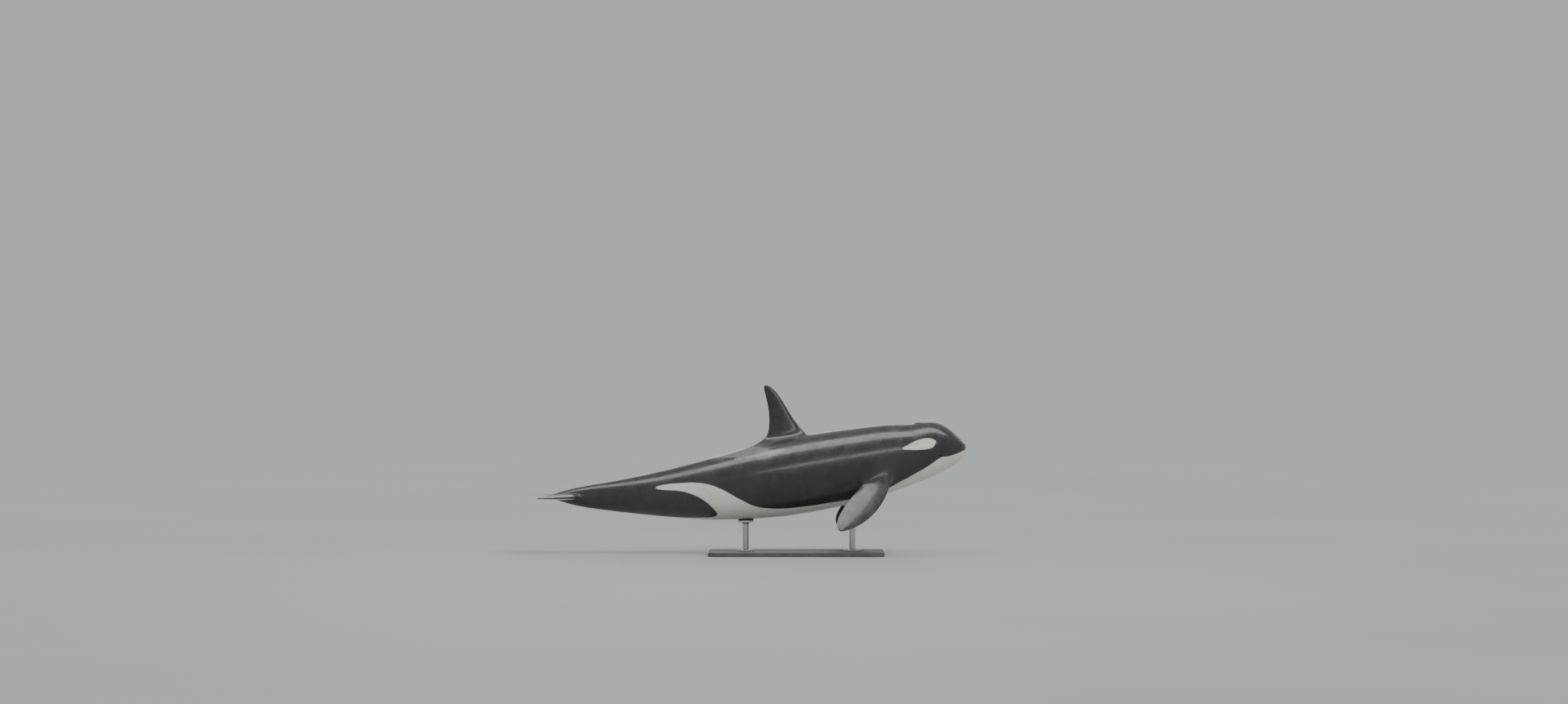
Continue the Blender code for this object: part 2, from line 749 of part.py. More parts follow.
def make_stand(body):
    base = rounded_plate("stand_base", BASE_LENGTH, BASE_WIDTH, BASE_HEIGHT, BASE_CORNER, 0.0)
    pieces = [base]
    for label, x in ROD_PLACES:
        foot = BASE_HEIGHT + GAP
        belly = belly_height(body, x)
        flange = disc("stand_flange_" + label, (x, 0, foot), FLANGE_RADIUS, FLANGE_HEIGHT)
        depth = FLANGE_HEIGHT + 2 * OVERCUT
        bore = disc("bore", (x, 0, foot - OVERCUT), ROD_RADIUS + GAP, depth, ROD_SIDES)
        combine(flange, bore, "DIFFERENCE")
        rod = disc("stand_rod_" + label, (x, 0, foot), ROD_RADIUS, belly - foot, ROD_SIDES)
        pad = disc("pad", (x, 0, belly - PAD_HEIGHT), PAD_RADIUS, PAD_HEIGHT + OVERCUT)
        combine(rod, pad, "UNION")
        combine(rod, swollen(body, "belly"), "DIFFERENCE")
        keep_largest(rod)
        pieces += [flange, rod]
    return pieces


def finish(item, look, smooth_by=40.0):
    item.data.materials.clear()
    item.data.materials.append(look)
    item.data.shade_smooth()
    item.data.set_sharp_from_angle(angle=math.radians(smooth_by))


def main():
    clear_scene()
    skin = material("skin", (0.02, 0.021, 0.023), 0.35)
    eye = material("eye", (0.012, 0.01, 0.009), 0.08)
    plate = material("base_paint", (0.08, 0.085, 0.09), 0.55)
    steel = material("steel", (0.55, 0.56, 0.57), 0.3, 1.0)

    body = whole_body()
    for item in make_stand(body):
        finish(item, plate if item.name == "stand_base" else steel, 30.0)

    pieces = {name: slice_of(body, name, first, last) for name, first, last in CUTS}
    bpy.data.objects.remove(body, do_unlink=True)

    back_front = section(FIN_STATIONS[0], 0.0)
    back_rear = section(FIN_STATIONS[-1], 0.0)
    slope = (back_front - back_rear).normalized()
    over = Vector((-slope.z, 0, slope.x))
    fin = part_fin(pieces["midbody"], "dorsal_fin", back_rear + over * FIN_CUT, over)
    blades = [fin]
    middle = (FLIPPER_STATIONS[0] + FLIPPER_STATIONS[-1]) / 2
    for name, side in (("left", 1), ("right", -1)):
        root = section(middle, FLIPPER_ANGLE * side)
        out = outward(middle, FLIPPER_ANGLE * side)
        blades.append(part_fin(pieces["chest"], "flipper_" + name, root + out * FLIPPER_CUT, out))
        tail = Vector((0, side * FLUKE_CUT, 0))
        blades.append(part_fin(pieces["tail_end"], "fluke_" + name, tail, Vector((0, side, 0))))

    head = pieces["head"]
    eyes = set_eyes(head)
    cut_blowhole(head)
    shape_mouth(head)
    jaw = part_jaw(head)
    for item in list(pieces.values()) + blades + [jaw]:
        finish(item, skin)
    for item in eyes:
        finish(item, eye)


main()
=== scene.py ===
"""The looks of a life-size orca model on its display stand: skin, markings, eyes and finishes.

Metres, +Z up. The head points to +X and the animal's right side to -Y. The file is laid out as an
add-on and is run as a script: the operators are called in order by main().
"""

import math

import bmesh
import bpy
import numpy as np
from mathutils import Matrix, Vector
from mathutils.bvhtree import BVHTree


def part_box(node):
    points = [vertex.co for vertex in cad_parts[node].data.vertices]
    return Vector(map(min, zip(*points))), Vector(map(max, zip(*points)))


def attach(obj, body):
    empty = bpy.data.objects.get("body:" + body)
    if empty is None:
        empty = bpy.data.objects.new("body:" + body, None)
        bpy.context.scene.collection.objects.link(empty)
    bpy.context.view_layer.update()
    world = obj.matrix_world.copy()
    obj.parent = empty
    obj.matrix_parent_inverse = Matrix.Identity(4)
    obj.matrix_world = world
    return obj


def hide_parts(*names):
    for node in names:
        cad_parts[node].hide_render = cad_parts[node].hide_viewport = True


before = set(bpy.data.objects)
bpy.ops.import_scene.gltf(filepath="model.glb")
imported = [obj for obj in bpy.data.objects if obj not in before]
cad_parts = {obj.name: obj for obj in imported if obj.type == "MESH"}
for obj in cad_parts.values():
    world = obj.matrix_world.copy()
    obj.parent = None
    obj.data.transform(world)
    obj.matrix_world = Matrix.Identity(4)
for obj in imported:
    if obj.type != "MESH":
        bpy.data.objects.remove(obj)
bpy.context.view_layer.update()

bl_info = {
    "name": "Orca on a display stand",
    "version": (1, 0, 0),
    "blender": (4, 5, 0),
    "location": "3D View > Sidebar > Orca",
    "description": "Builds the skin, eyes, stand and studio of a life-size orca model",
    "category": "Object",
}

FLESH = (
    "head",
    "lower_jaw",
    "neck",
    "chest",
    "midbody",
    "loin",
    "tail_stock",
    "tail_end",
    "dorsal_fin",
    "flipper_left",
    "flipper_right",
    "fluke_left",
    "fluke_right",
)

# The body's axis and sections, in metres and in fractions of the length from the snout
BODY_LENGTH = 6.0
SNOUT_X = 2.423
SNOUT_Z = 1.523
SIDES = 24
KEEL_POWER = 1.35
KEEL_START = 0.55
KEEL_FULL = 0.85
PITCH = (
    (0.0, 9.0),
    (0.14, 9.4),
    (0.34, 10.6),
    (0.46, 10.4),
    (0.6, 8.0),
    (0.76, 4.2),
    (0.88, 1.2),
    (1.0, -2.5),
)
# Place, height above the axis, depth below it and half width
PROFILE = (
    (0.0, -0.0100, 0.0100, 0.0000),
    (0.004, 0.0015, 0.0215, 0.0180),
    (0.012, 0.0150, 0.0308, 0.0300),
    (0.026, 0.0335, 0.0402, 0.0400),
    (0.046, 0.0536, 0.0495, 0.0495),
    (0.062, 0.0632, 0.0555, 0.0550),
    (0.078, 0.0682, 0.0608, 0.0596),
    (0.098, 0.0690, 0.0662, 0.0638),
    (0.121, 0.0692, 0.0715, 0.0680),
    (0.174, 0.0778, 0.0820, 0.0755),
    (0.264, 0.0842, 0.0935, 0.0855),
    (0.355, 0.0886, 0.0975, 0.0900),
    (0.440, 0.0885, 0.0960, 0.0880),
    (0.520, 0.0832, 0.0895, 0.0805),
    (0.600, 0.0740, 0.0795, 0.0690),
    (0.690, 0.0606, 0.0640, 0.0530),
    (0.780, 0.0462, 0.0475, 0.0365),
    (0.860, 0.0345, 0.0340, 0.0235),
    (0.920, 0.0255, 0.0245, 0.0165),
    (0.965, 0.0150, 0.0145, 0.0135),
    (1.000, 0.0022, 0.0022, 0.0100),
)
HEAD_STATIONS = (0.004, 0.012, 0.023, 0.036, 0.050, 0.065, 0.081, 0.098, 0.118, 0.140, 0.163)
FLIPPER_STATIONS = (0.185, 0.205, 0.225, 0.245, 0.265)
CHEST_STATIONS = (0.298, 0.334)
FIN_STATIONS = (0.370, 0.396, 0.422, 0.449, 0.476, 0.502, 0.527)
LOIN_STATIONS = (0.578, 0.632, 0.690, 0.748, 0.806, 0.858, 0.896)
FLUKE_STATIONS = (0.924, 0.948, 0.974, 1.0)
BODY_STATIONS = FLIPPER_STATIONS + CHEST_STATIONS + FIN_STATIONS + LOIN_STATIONS
STATIONS = HEAD_STATIONS + BODY_STATIONS + FLUKE_STATIONS

# The blades: edges from root to tip as control points of one cubic curve each, thickness at the root
# and the tip with the power of its taper, and the columns of the section that a left one grows from
FIN_LEAD = ((0.205, 0.0, 1.705), (-0.10, 0.0, 1.86), (-0.145, 0.0, 2.27), (-0.385, 0.0, 2.430))
FIN_TRAIL = ((-0.480, 0.0, 1.590), (-0.325, 0.0, 1.74), (-0.365, 0.0, 2.14), (-0.490, 0.0, 2.415))
FIN_LEVELS = (0.08, 0.25, 0.46, 0.68, 0.88, 0.97, 1.0)
FIN_THICKNESS = (0.134, 0.016, 0.8)
FLIPPER_LEAD = ((0.0, 0.20), (0.36, 0.22), (0.86, -0.05), (0.83, -0.50))
FLIPPER_TRAIL = ((0.0, -0.185), (0.20, -0.29), (0.52, -0.71), (0.80, -0.56))
FLIPPER_COLUMNS = (7, 8, 9)
FLIPPER_DROOP = 50.0
FLIPPER_ANGLE = 120.0
FLIPPER_THICKNESS = (0.115, 0.023, 1.0)
FLIPPER_LEVELS = (0.04, 0.16, 0.34, 0.56, 0.78, 0.93, 1.0)
FLUKE_COLUMNS = (5, 6, 7)
FLUKE_HALF_SPREAD = 0.83
FLUKE_ROOT = 0.07
FLUKE_LEAD = ((0.0, 0.0), (0.30, 0.13), (0.78, 0.28), (1.0, 0.56))
FLUKE_TRAIL = ((0.0, 0.0), (0.14, 0.12), (0.50, 0.03), (1.0, 0.165))
FLUKE_LEVELS = (0.06, 0.22, 0.44, 0.68, 0.88, 0.97, 1.0)
FLUKE_THICKNESS = (0.119, 0.014, 0.85)
NOTCH_DEPTH = 0.02
TIP_ROUND = 0.90
TIP_LOSS = 0.8
EDGE_FRONT = 0.03
EDGE_REAR = 0.98
EDGE_HALF = 0.003

# The head's features
MOUTH = (
    (0.0, -0.0105),
    (0.012, -0.0140),
    (0.030, -0.0180),
    (0.048, -0.0200),
    (0.060, -0.0188),
    (0.068, -0.0155),
)
MOUTH_CREASE = 0.0050
MOUTH_SNAP = 0.0011
LIP_SPACING = 0.016
LIP_WIDTH = 0.0095
EYE_STATION = 0.080
EYE_ANGLE = 91.5
EYE_RADIUS = 0.027
EYE_PROUD = 0.0045
EYE_DOME = (0.0085, 0.0012)
EYE_FORMS = 0.12
PUPIL_LENGTHENING = 0.86
SOCKET_DEPTH = 0.020
# The lids' opening: its half height as a share of its half length, and the power of its outline
OPENING_HEIGHT = 0.70
OPENING_POWER = 1.65
# Ridges about the eye: distance and width in half openings, and height in metres
LID_RIM = (1.22, 0.26)
LID_CREASE = (1.72, 0.16, 0.0034)
BROW = (2.25, 0.45, 0.0042)
POUCH = (1.9, 0.55, 0.0016)
BLOWHOLE_STATION = 0.1080
BLOWHOLE_SHIFT = 0.008
BLOWHOLE_RADIUS = 0.062
BLOWHOLE_SWEEP = 74.0
BLOWHOLE_SLIT = 0.0065
# Ridges beside a slit: distance, width and height
BLOWHOLE_LIPS = (0.016, 0.012, 0.0045)
BLOWHOLE_MOUND = (0.0, 0.055, 0.004)
SLIT_LIPS = (0.018, 0.012, 0.0035)
# Width of the painted shade in the blowhole's slit and along the underside's slits
SLIT_SHADE_WIDTH = 0.006

# The underside's marks: place, half length, and for a pair the distance from the middle
NAVEL = (0.455, 0.030)
VENT_SLIT = (0.640, 0.150)
MILK_SLITS = (0.642, 0.045, 0.075)
ANUS = (0.695, 0.022)
# Each with the width and depth of its fold
UNDERSIDE = (
    (VENT_SLIT, 0.0050, 0.012),
    (MILK_SLITS, 0.0045, 0.007),
    (NAVEL, 0.0100, 0.006),
    (ANUS, 0.0060, 0.009),
)

# How far off the skin a point still counts as the trunk's, how far the carving goes out onto the
# blades, and a distance that is never reached
TRUNK_SKIN = 0.03
CARVED_SKIN = 0.04
FAR = 9.0

# Where the mesh is made finer: the head, the borders of the white, and in three steps the faces that
# lie within so many metres of the mouth, eyes, blowhole and slits, each with its number of cuts
HEAD_END = 0.160
MOUTH_END = 0.09
BORDER_FRONT = 0.165
BORDER_REAR = 0.78
BORDER_REACH = 0.055
FINER = (
    (0.060, 0.110, 0.060, 0.070, 1),
    (0.021, 0.070, 0.036, 0.045, 2),
    (0.000, 0.038, 0.000, 0.000, 1),
)

# Markings. The eye patch: place, and height off the axis as a fraction of the length
EYE_PATCH = (
    (0.1525, 0.0150),
    (0.1350, 0.0228),
    (0.1150, 0.0292),
    (0.0958, 0.0308),
    (0.0800, 0.0262),
    (0.0720, 0.0191),
    (0.0797, 0.0085),
    (0.0880, 0.0062),
    (0.1057, 0.0053),
    (0.1280, 0.0085),
)
# The white of the throat and belly, one side: place, and degrees round from the belly's middle
BELLY_WHITE = (
    (0.020, -60.0),
    (0.020, 20.0),
    (0.045, 66.0),
    (0.061, 70.0),
    (0.073, 67.0),
    (0.086, 61.5),
    (0.104, 55.5),
    (0.130, 49.0),
    (0.165, 41.0),
    (0.200, 33.0),
    (0.240, 28.0),
    (0.290, 29.0),
    (0.350, 33.0),
    (0.420, 36.0),
    (0.480, 41.0),
    (0.520, 51.0),
    (0.550, 66.0),
    (0.580, 82.0),
    (0.612, 96.0),
    (0.648, 106.0),
    (0.690, 112.0),
    (0.728, 113.0),
    (0.746, 109.0),
    (0.736, 102.0),
    (0.700, 96.0),
    (0.665, 86.0),
    (0.635, 70.0),
    (0.616, 52.0),
    (0.608, 36.0),
    (0.622, 24.0),
    (0.660, 18.0),
    (0.700, 13.0),
    (0.735, 6.0),
    (0.742, -60.0),
)
JAW_WHITE_END = 0.058
# Where the markings end: the lowest height of the eye patch, how far out onto the blades the white
# and the grey reach, and the place and half width from which the flukes' own white is used
PATCH_LOWEST = -0.1
WHITE_REACH = 0.035
SADDLE_REACH = 0.06
FLUKE_PLACE = 0.9
TAIL_HALF_WIDTH = 0.02
FLUKE_MARGIN = 0.050
# The grey saddle, one side: place, and metres round the body from the back's middle
SADDLE = (
    (0.575, -0.200),
    (0.530, -0.100),
    (0.532, 0.030),
    (0.500, 0.110),
    (0.475, 0.220),
    (0.455, 0.330),
    (0.430, 0.420),
    (0.450, 0.470),
    (0.490, 0.440),
    (0.530, 0.360),
    (0.570, 0.260),
    (0.605, 0.140),
    (0.625, 0.030),
    (0.620, -0.100),
)

# The stand. A rod flares under its cup and a flange has a collar: how much wider than the rod, and
# how far below the cup or above the flange. The pad's rings are fractions of its radius.
ROD_RADIUS = 0.0445
CUP_DEPTH = 0.043
FLARE = ((0.0, 0.030), (0.003, 0.018), (0.010, 0.007), (0.022, 0.0005))
COLLAR = ((0.016, 0.0), (0.007, 0.006), (0.0006, 0.016))
RIM_ROUND = 0.004
PAD_FOOT = 0.0155
PAD_RINGS = (1.0, 0.97, 0.85, 0.7, 0.5, 0.3, 0.1)
PAD_CLEARANCE = 0.0006
SCREW_CIRCLE = 0.76
SCREW_RADIUS = 0.0085
SCREW_HEIGHT = 0.008
SCREWS = 6

# The photo's framing: the camera is level with the horizon behind the animal
CAMERA_PLACE = (-0.175, -60.0, 2.898)
PHOTO_WIDTH_AT_MODEL = 22.37
SENSOR = 36.0


def smooth(table, places, column=1):
    """A column of a table at places, along a smooth curve through its rows. The rows are spread by
    the root of their place, which rounds the snout."""
    rows = np.array(table)
    spots = np.sqrt(rows[:, 0])
    values = rows[:, column]
    widths = np.diff(spots)
    rises = np.diff(values) / widths
    slopes = np.empty_like(values)
    slopes[0] = rises[0]
    slopes[-1] = rises[-1]
    slopes[1:-1] = (rises[:-1] * widths[1:] + rises[1:] * widths[:-1]) / (widths[:-1] + widths[1:])
    spot = np.sqrt(np.clip(places, rows[0, 0], rows[-1, 0]))
    left = np.clip(np.searchsorted(spots, spot), 1, len(spots) - 1) - 1
    width = widths[left]
    t = (spot - spots[left]) / width
    return (
        (2 * t ** 3 - 3 * t ** 2 + 1) * values[left]
        + (t ** 3 - 2 * t ** 2 + t) * width * slopes[left]
        + (3 * t ** 2 - 2 * t ** 3) * values[left + 1]
        + (t ** 3 - t ** 2) * width * slopes[left + 1]
    )


def axis_line(count=1600):
    """The body's axis from the snout to the notch: places, x and z."""
    places = np.linspace(0.0, 1.0, count + 1)
    pitch = np.radians(smooth(PITCH, (places[1:] + places[:-1]) / 2))
    step = BODY_LENGTH / count
    start = SNOUT_Z - float(smooth(PROFILE, 0.0)) * BODY_LENGTH
    x = SNOUT_X - np.concatenate(([0.0], np.cumsum(np.cos(pitch)))) * step
    z = start - np.concatenate(([0.0], np.cumsum(np.sin(pitch)))) * step
    return places, x, z


AXIS_PLACES, AXIS_X, AXIS_Z = axis_line()


def spine(place):
    """The axis's point and pitch at one place."""
    x = float(np.interp(place, AXIS_PLACES, AXIS_X))
    z = float(np.interp(place, AXIS_PLACES, AXIS_Z))
    return Vector((x, 0.0, z)), math.radians(float(smooth(PITCH, place)))


def forward(pitch):
    return Vector((math.cos(pitch), 0.0, math.sin(pitch)))


def upward(pitch):
    return Vector((-math.sin(pitch), 0.0, math.cos(pitch)))


def keel(places):
    """How far a section narrows towards its keels: 1 is an ellipse."""
    part = np.clip((places - KEEL_START) / (KEEL_FULL - KEEL_START), 0.0, 1.0)
    return 1.0 + (KEEL_POWER - 1.0) * part * part * (3 - 2 * part)


def section(place, degrees):
    """A point of the body at a place: 0 degrees is the back, 90 the left flank, 180 the belly."""
    centre, pitch = spine(place)
    angle = math.radians(degrees)
    rise = math.cos(angle)
    height = float(smooth(PROFILE, place, 1 if rise > 0 else 2)) * BODY_LENGTH
    width = float(smooth(PROFILE, place, 3)) * BODY_LENGTH
    across = math.copysign(abs(math.sin(angle)) ** float(keel(place)), math.sin(angle))
    return centre + upward(pitch) * rise * height + Vector((0.0, across * width, 0.0))


def outward(place, degrees):
    """The way out of the body's side at a place and an angle from the back."""
    step = 0.002
    along = section(place + step, degrees) - section(place - step, degrees)
    around = section(place, degrees + 1) - section(place, degrees - 1)
    return around.cross(along).normalized()


def bezier(points, t):
    a, b, c, d = (Vector(p) for p in points)
    return a * (1 - t) ** 3 + b * 3 * t * (1 - t) ** 2 + c * 3 * t * t * (1 - t) + d * t ** 3


def foil(chord):
    """The half thickness of a streamlined section, 1 at its thickest, at a fraction of its chord."""
    c = min(max(chord, 0.0), 1.0)
    rounding = 2.969 * math.sqrt(c)
    return rounding - 1.26 * c - 3.516 * c ** 2 + 2.843 * c ** 3 - 1.015 * c ** 4


def blade_point(lead, trail, normal, thickness, spot, level):
    """A point of a blade's section between its leading and trailing points; the tip is rounded."""
    row, rows, column = spot
    root, tip, power = thickness
    thick = tip + (root - tip) * (1 - level) ** power
    past = min(max(level - TIP_ROUND, 0.0) / (1 - TIP_ROUND), 0.97)
    pull = (1 - math.sqrt(1 - past ** 2)) * TIP_LOSS
    middle = (lead + trail) / 2
    lead = lead.lerp(middle, pull)
    trail = trail.lerp(middle, pull)
    chord = row / (rows - 1)
    if column == 1:
        return lead.lerp(trail, chord)
    chord = min(max(chord, EDGE_FRONT), EDGE_REAR)
    half = max(foil(chord) * thick / 2, EDGE_HALF)
    return lead.lerp(trail, chord) + normal * (1 - column) * half


def trunk_radius(places):
    """The mean radius of the body's sections, in metres."""
    top, bottom, width = (smooth(PROFILE, places, column) for column in (1, 2, 3))
    return (width + (top + bottom) / 2) / 2 * BODY_LENGTH


class Body:
    """Where points lie on the body: place along it, height over the axis, distance to the side,
    angle from the back, radius there and distance outside the trunk."""

    def __init__(self, points):
        self.place = np.interp(-points[:, 0], -AXIS_X, AXIS_PLACES)
        for _ in range(6):
            self.settle(points)
            self.place = np.clip(self.place + self.along / BODY_LENGTH, 0.0, 1.0)
        self.settle(points)
        self.side = points[:, 1]
        top = smooth(PROFILE, self.place, 1) * BODY_LENGTH
        bottom = smooth(PROFILE, self.place, 2) * BODY_LENGTH
        width = np.maximum(smooth(PROFILE, self.place, 3) * BODY_LENGTH, 1e-4)
        height = np.where(self.height > 0, np.maximum(top, 1e-4), bottom)
        rise = self.height / height
        across = (np.abs(self.side) / width) ** (1 / keel(self.place))
        self.angle = np.degrees(np.arctan2(across, rise))
        self.radius = trunk_radius(self.place)
        self.out = (np.hypot(rise, across) - 1.0) * self.radius
        self.from_belly = np.radians(180.0 - self.angle) * self.radius
        self.from_back = np.radians(self.angle) * self.radius

    def settle(self, points):
        x = points[:, 0] - np.interp(self.place, AXIS_PLACES, AXIS_X)
        z = points[:, 2] - np.interp(self.place, AXIS_PLACES, AXIS_Z)
        pitch = np.radians(smooth(PITCH, self.place))
        self.along = -(x * np.cos(pitch) + z * np.sin(pitch))
        self.height = z * np.cos(pitch) - x * np.sin(pitch)


def rounded_loop(points, steps=8):
    """A closed smooth curve through points."""
    rows = np.array(points)
    count = len(rows)
    loop = []
    for k in range(count):
        a, b, c, d = (rows[(k + shift) % count] for shift in (-1, 0, 1, 2))
        for j in range(steps):
            t = j / steps
            loop.append(
                0.5 * (2 * b + (c - a) * t + (2 * a - 5 * b + 4 * c - d) * t * t)
                + 0.5 * (3 * b - 3 * c + d - a) * t ** 3
            )
    return np.array(loop)


def depth_inside(loop, across, up):
    """Distance of points to a closed outline in metres, above 0 inside it."""
    inside = np.zeros(len(across), bool)
    nearest = np.full(len(across), 1e9)
    for (ax, ay), (bx, by) in zip(loop, np.roll(loop, -1, axis=0)):
        dx = bx - ax
        dy = by - ay
        t = np.clip(((across - ax) * dx + (up - ay) * dy) / (dx * dx + dy * dy + 1e-12), 0.0, 1.0)
        nearest = np.minimum(nearest, np.hypot(across - ax - t * dx, up - ay - t * dy))
        crosses = (ay > up) != (by > up)
        reach = ax + (up - ay) * dx / (dy if abs(dy) > 1e-12 else 1e-12)
        inside ^= crosses & (across < reach)
    return np.where(inside, nearest, -nearest)


def bump(distance, width):
    """1 at no distance, falling smoothly to nothing a few widths away."""
    return np.exp(-((distance / width) ** 2))


def ridge(away, distance, width, height):
    """A rounded swelling along a line, at a distance from it."""
    return bump(away - distance, width) * height


def ramp(value, low, high):
    """0 below low, 1 above high and a smooth rise between."""
    t = np.clip((value - low) / (high - low), 0.0, 1.0)
    return t * t * (3 - 2 * t)


# Editing helpers
def deselect():
    if bpy.context.object and bpy.context.object.mode != "OBJECT":
        bpy.ops.object.mode_set(mode="OBJECT")
    bpy.ops.object.select_all(action="DESELECT")


def activate(item):
    deselect()
    item.select_set(True)
    bpy.context.view_layer.objects.active = item


def edit(item, kind="VERT"):
    activate(item)
    bpy.ops.object.mode_set(mode="EDIT")
    bpy.ops.mesh.select_mode(type=kind)
    return bmesh.from_edit_mesh(item.data)


def leave():
    bpy.ops.object.mode_set(mode="OBJECT")


def name_new(name):
    """Names the object that the last operator added, and lays its place into its mesh."""
    bpy.ops.object.transform_apply(location=True, rotation=True, scale=True)
    item = bpy.context.object
    item.name = name
    item.data.name = name
    return item


def apply_subdivision(item, levels):
    activate(item)
    step = item.modifiers.new("subdivision", "SUBSURF")
    step.levels = levels
    step.render_levels = levels
    bpy.ops.object.modifier_apply(modifier=step.name)


def points_of(item):
    points = np.empty(len(item.data.vertices) * 3)
    item.data.vertices.foreach_get("co", points)
    return points.reshape(-1, 3)


def normals_of(item):
    normals = np.empty(len(item.data.vertices) * 3, np.float32)
    item.data.vertex_normals.foreach_get("vector", normals)
    return normals.reshape(-1, 3).astype(float)


def set_points(item, points):
    item.data.vertices.foreach_set("co", points.ravel())
    item.data.update()


def set_field(item, name, values):
    """Stores one number for each vertex, for the materials to read."""
    layer = item.data.attributes.new(name, "FLOAT", "POINT")
    layer.data.foreach_set("value", np.asarray(values, np.float32))


def finish_piece(item, look, replaced=(), smooth_by=None):
    """Gives a finished piece its material and its place in the model."""
    activate(item)
    item.data.materials.clear()
    item.data.materials.append(look)
    if smooth_by is None:
        bpy.ops.object.shade_smooth()
    else:
        bpy.ops.object.shade_smooth_by_angle(angle=math.radians(smooth_by))
    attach(item, "root")
    if replaced:
        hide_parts(*replaced)


# The skin's cage
def address(mesh):
    """The layers that hold each vertex's ring and its column there."""
    return mesh.verts.layers.int["ring"], mesh.verts.layers.int["column"]


def draw_trunk(item):
    """Draws the first ring out along the axis, ring by ring, each set to the body's section."""
    mesh = edit(item)
    mesh.verts.layers.int.new("ring")
    mesh.verts.layers.int.new("column")
    ring, column = address(mesh)
    mesh.verts.ensure_lookup_table()
    for k, vert in enumerate(mesh.verts):
        vert[column] = k
        vert.co = section(STATIONS[0], 360.0 * k / SIDES)
    bmesh.update_edit_mesh(item.data)
    bpy.ops.mesh.select_all(action="SELECT")
    for k, place in enumerate(STATIONS[1:], 1):
        bpy.ops.mesh.extrude_region_move()
        mesh = bmesh.from_edit_mesh(item.data)
        ring, column = address(mesh)
        for vert in mesh.verts:
            if vert.select:
                vert[ring] = k
                vert.co = section(place, 360.0 * vert[column] / SIDES)
    bmesh.update_edit_mesh(item.data)
    leave()


def close_end(item, which, reach):
    """Closes an end ring with rows of faces across it, bowed along the middle plane by reach."""
    mesh = edit(item)
    ring, column = address(mesh)
    loop = {vert[column]: vert for vert in mesh.verts if vert[ring] == which}
    half = SIDES // 2
    middle = [loop[0]]
    for k in range(1, half):
        centre = (loop[k].co + loop[SIDES - k].co) / 2
        made = mesh.verts.new(centre + reach * math.sin(math.pi * k / half))
        made[ring] = -1
        middle.append(made)
    middle.append(loop[half])
    for k in range(half):
        sides = ((loop[k + 1], loop[k]), (loop[(SIDES - k) % SIDES], loop[SIDES - k - 1]))
        for corners in ((middle[k], middle[k + 1], *sides[0]), (*sides[1], middle[k + 1], middle[k])):
            mesh.faces.new(list(dict.fromkeys(corners)))
    bmesh.update_edit_mesh(item.data)
    leave()


def draw_blade(item, stations, columns, levels, shape):
    """Extrudes the faces between stations and columns in steps. The shape is the function that gives
    the leading and trailing points at a level, the blade's normal and its thickness."""
    edges, *section_shape = shape
    rows = {STATIONS.index(station): k for k, station in enumerate(stations)}
    sides = {column % SIDES: k for k, column in enumerate(columns)}
    mesh = edit(item, "FACE")
    bpy.ops.mesh.select_all(action="DESELECT")
    ring, column = address(mesh)
    for face in mesh.faces:
        face.select_set(all(v[ring] in rows and v[column] in sides for v in face.verts))
    bmesh.update_edit_mesh(item.data)
    for level in levels:
        bpy.ops.mesh.extrude_region_move()
        mesh = bmesh.from_edit_mesh(item.data)
        ring, column = address(mesh)
        for vert in mesh.verts:
            if vert.select:
                spot = rows[vert[ring]], len(rows), sides[vert[column]]
                vert.co = blade_point(*edges(level), *section_shape, spot, level)
    bmesh.update_edit_mesh(item.data)
    leave()


def draw_fin(item):
    def edges(level):
        return bezier(FIN_LEAD, level), bezier(FIN_TRAIL, level)

    shape = edges, Vector((0, 1, 0)), FIN_THICKNESS
    draw_blade(item, FIN_STATIONS, (1, 0, SIDES - 1), FIN_LEVELS, shape)


def draw_flipper(item, side):
    middle = (FLIPPER_STATIONS[0] + FLIPPER_STATIONS[-1]) / 2
    root = section(middle, FLIPPER_ANGLE * side)
    ahead = forward(spine(middle)[1])
    droop = math.radians(FLIPPER_DROOP)
    down = Vector((0, side * math.cos(droop), -math.sin(droop)))
    normal = ahead.cross(down).normalized() * side

    def edge(points, level):
        spot = bezier([(*point, 0.0) for point in points], level)
        return root + down * spot.x + ahead * spot.y

    def edges(level):
        return edge(FLIPPER_LEAD, level), edge(FLIPPER_TRAIL, level)

    columns = [side * column for column in FLIPPER_COLUMNS]
    shape = edges, normal, FLIPPER_THICKNESS
    draw_blade(item, FLIPPER_STATIONS, columns, FLIPPER_LEVELS, shape)


def fluke_edge(start, points, level, side):
    spot = bezier([(*point, 0.0) for point in points], level)
    across = FLUKE_ROOT + (FLUKE_HALF_SPREAD - FLUKE_ROOT) * spot.x
    ahead = forward(spine(FLUKE_STATIONS[0])[1])
    return start + Vector((0, side * across, 0)) - ahead * spot.y


def draw_fluke(item, side):
    front, pitch = spine(FLUKE_STATIONS[0])
    back = spine(FLUKE_STATIONS[-1])[0]

    def edges(level):
        lead = fluke_edge(front, FLUKE_LEAD, level, side)
        return lead, fluke_edge(back, FLUKE_TRAIL, level, side)

    columns = [side * column for column in FLUKE_COLUMNS]
    shape = edges, upward(pitch), FLUKE_THICKNESS
    draw_blade(item, FLUKE_STATIONS, columns, FLUKE_LEVELS, shape)


def draw_cage():
    """The whole animal as one coarse closed mesh."""
    deselect()
    bpy.ops.mesh.primitive_circle_add(vertices=SIDES, radius=0.1, fill_type="NOTHING")
    item = name_new("orca_skin")
    draw_trunk(item)
    close_end(item, 0, forward(spine(0.0)[1]) * STATIONS[0] * BODY_LENGTH)
    close_end(item, len(STATIONS) - 1, Vector((NOTCH_DEPTH, 0, 0)))
    draw_fin(item)
    for side in (1, -1):
        draw_flipper(item, side)
        draw_fluke(item, side)
    edit(item, "FACE")
    bpy.ops.mesh.select_all(action="SELECT")
    bpy.ops.mesh.normals_make_consistent(inside=False)
    leave()
    return item


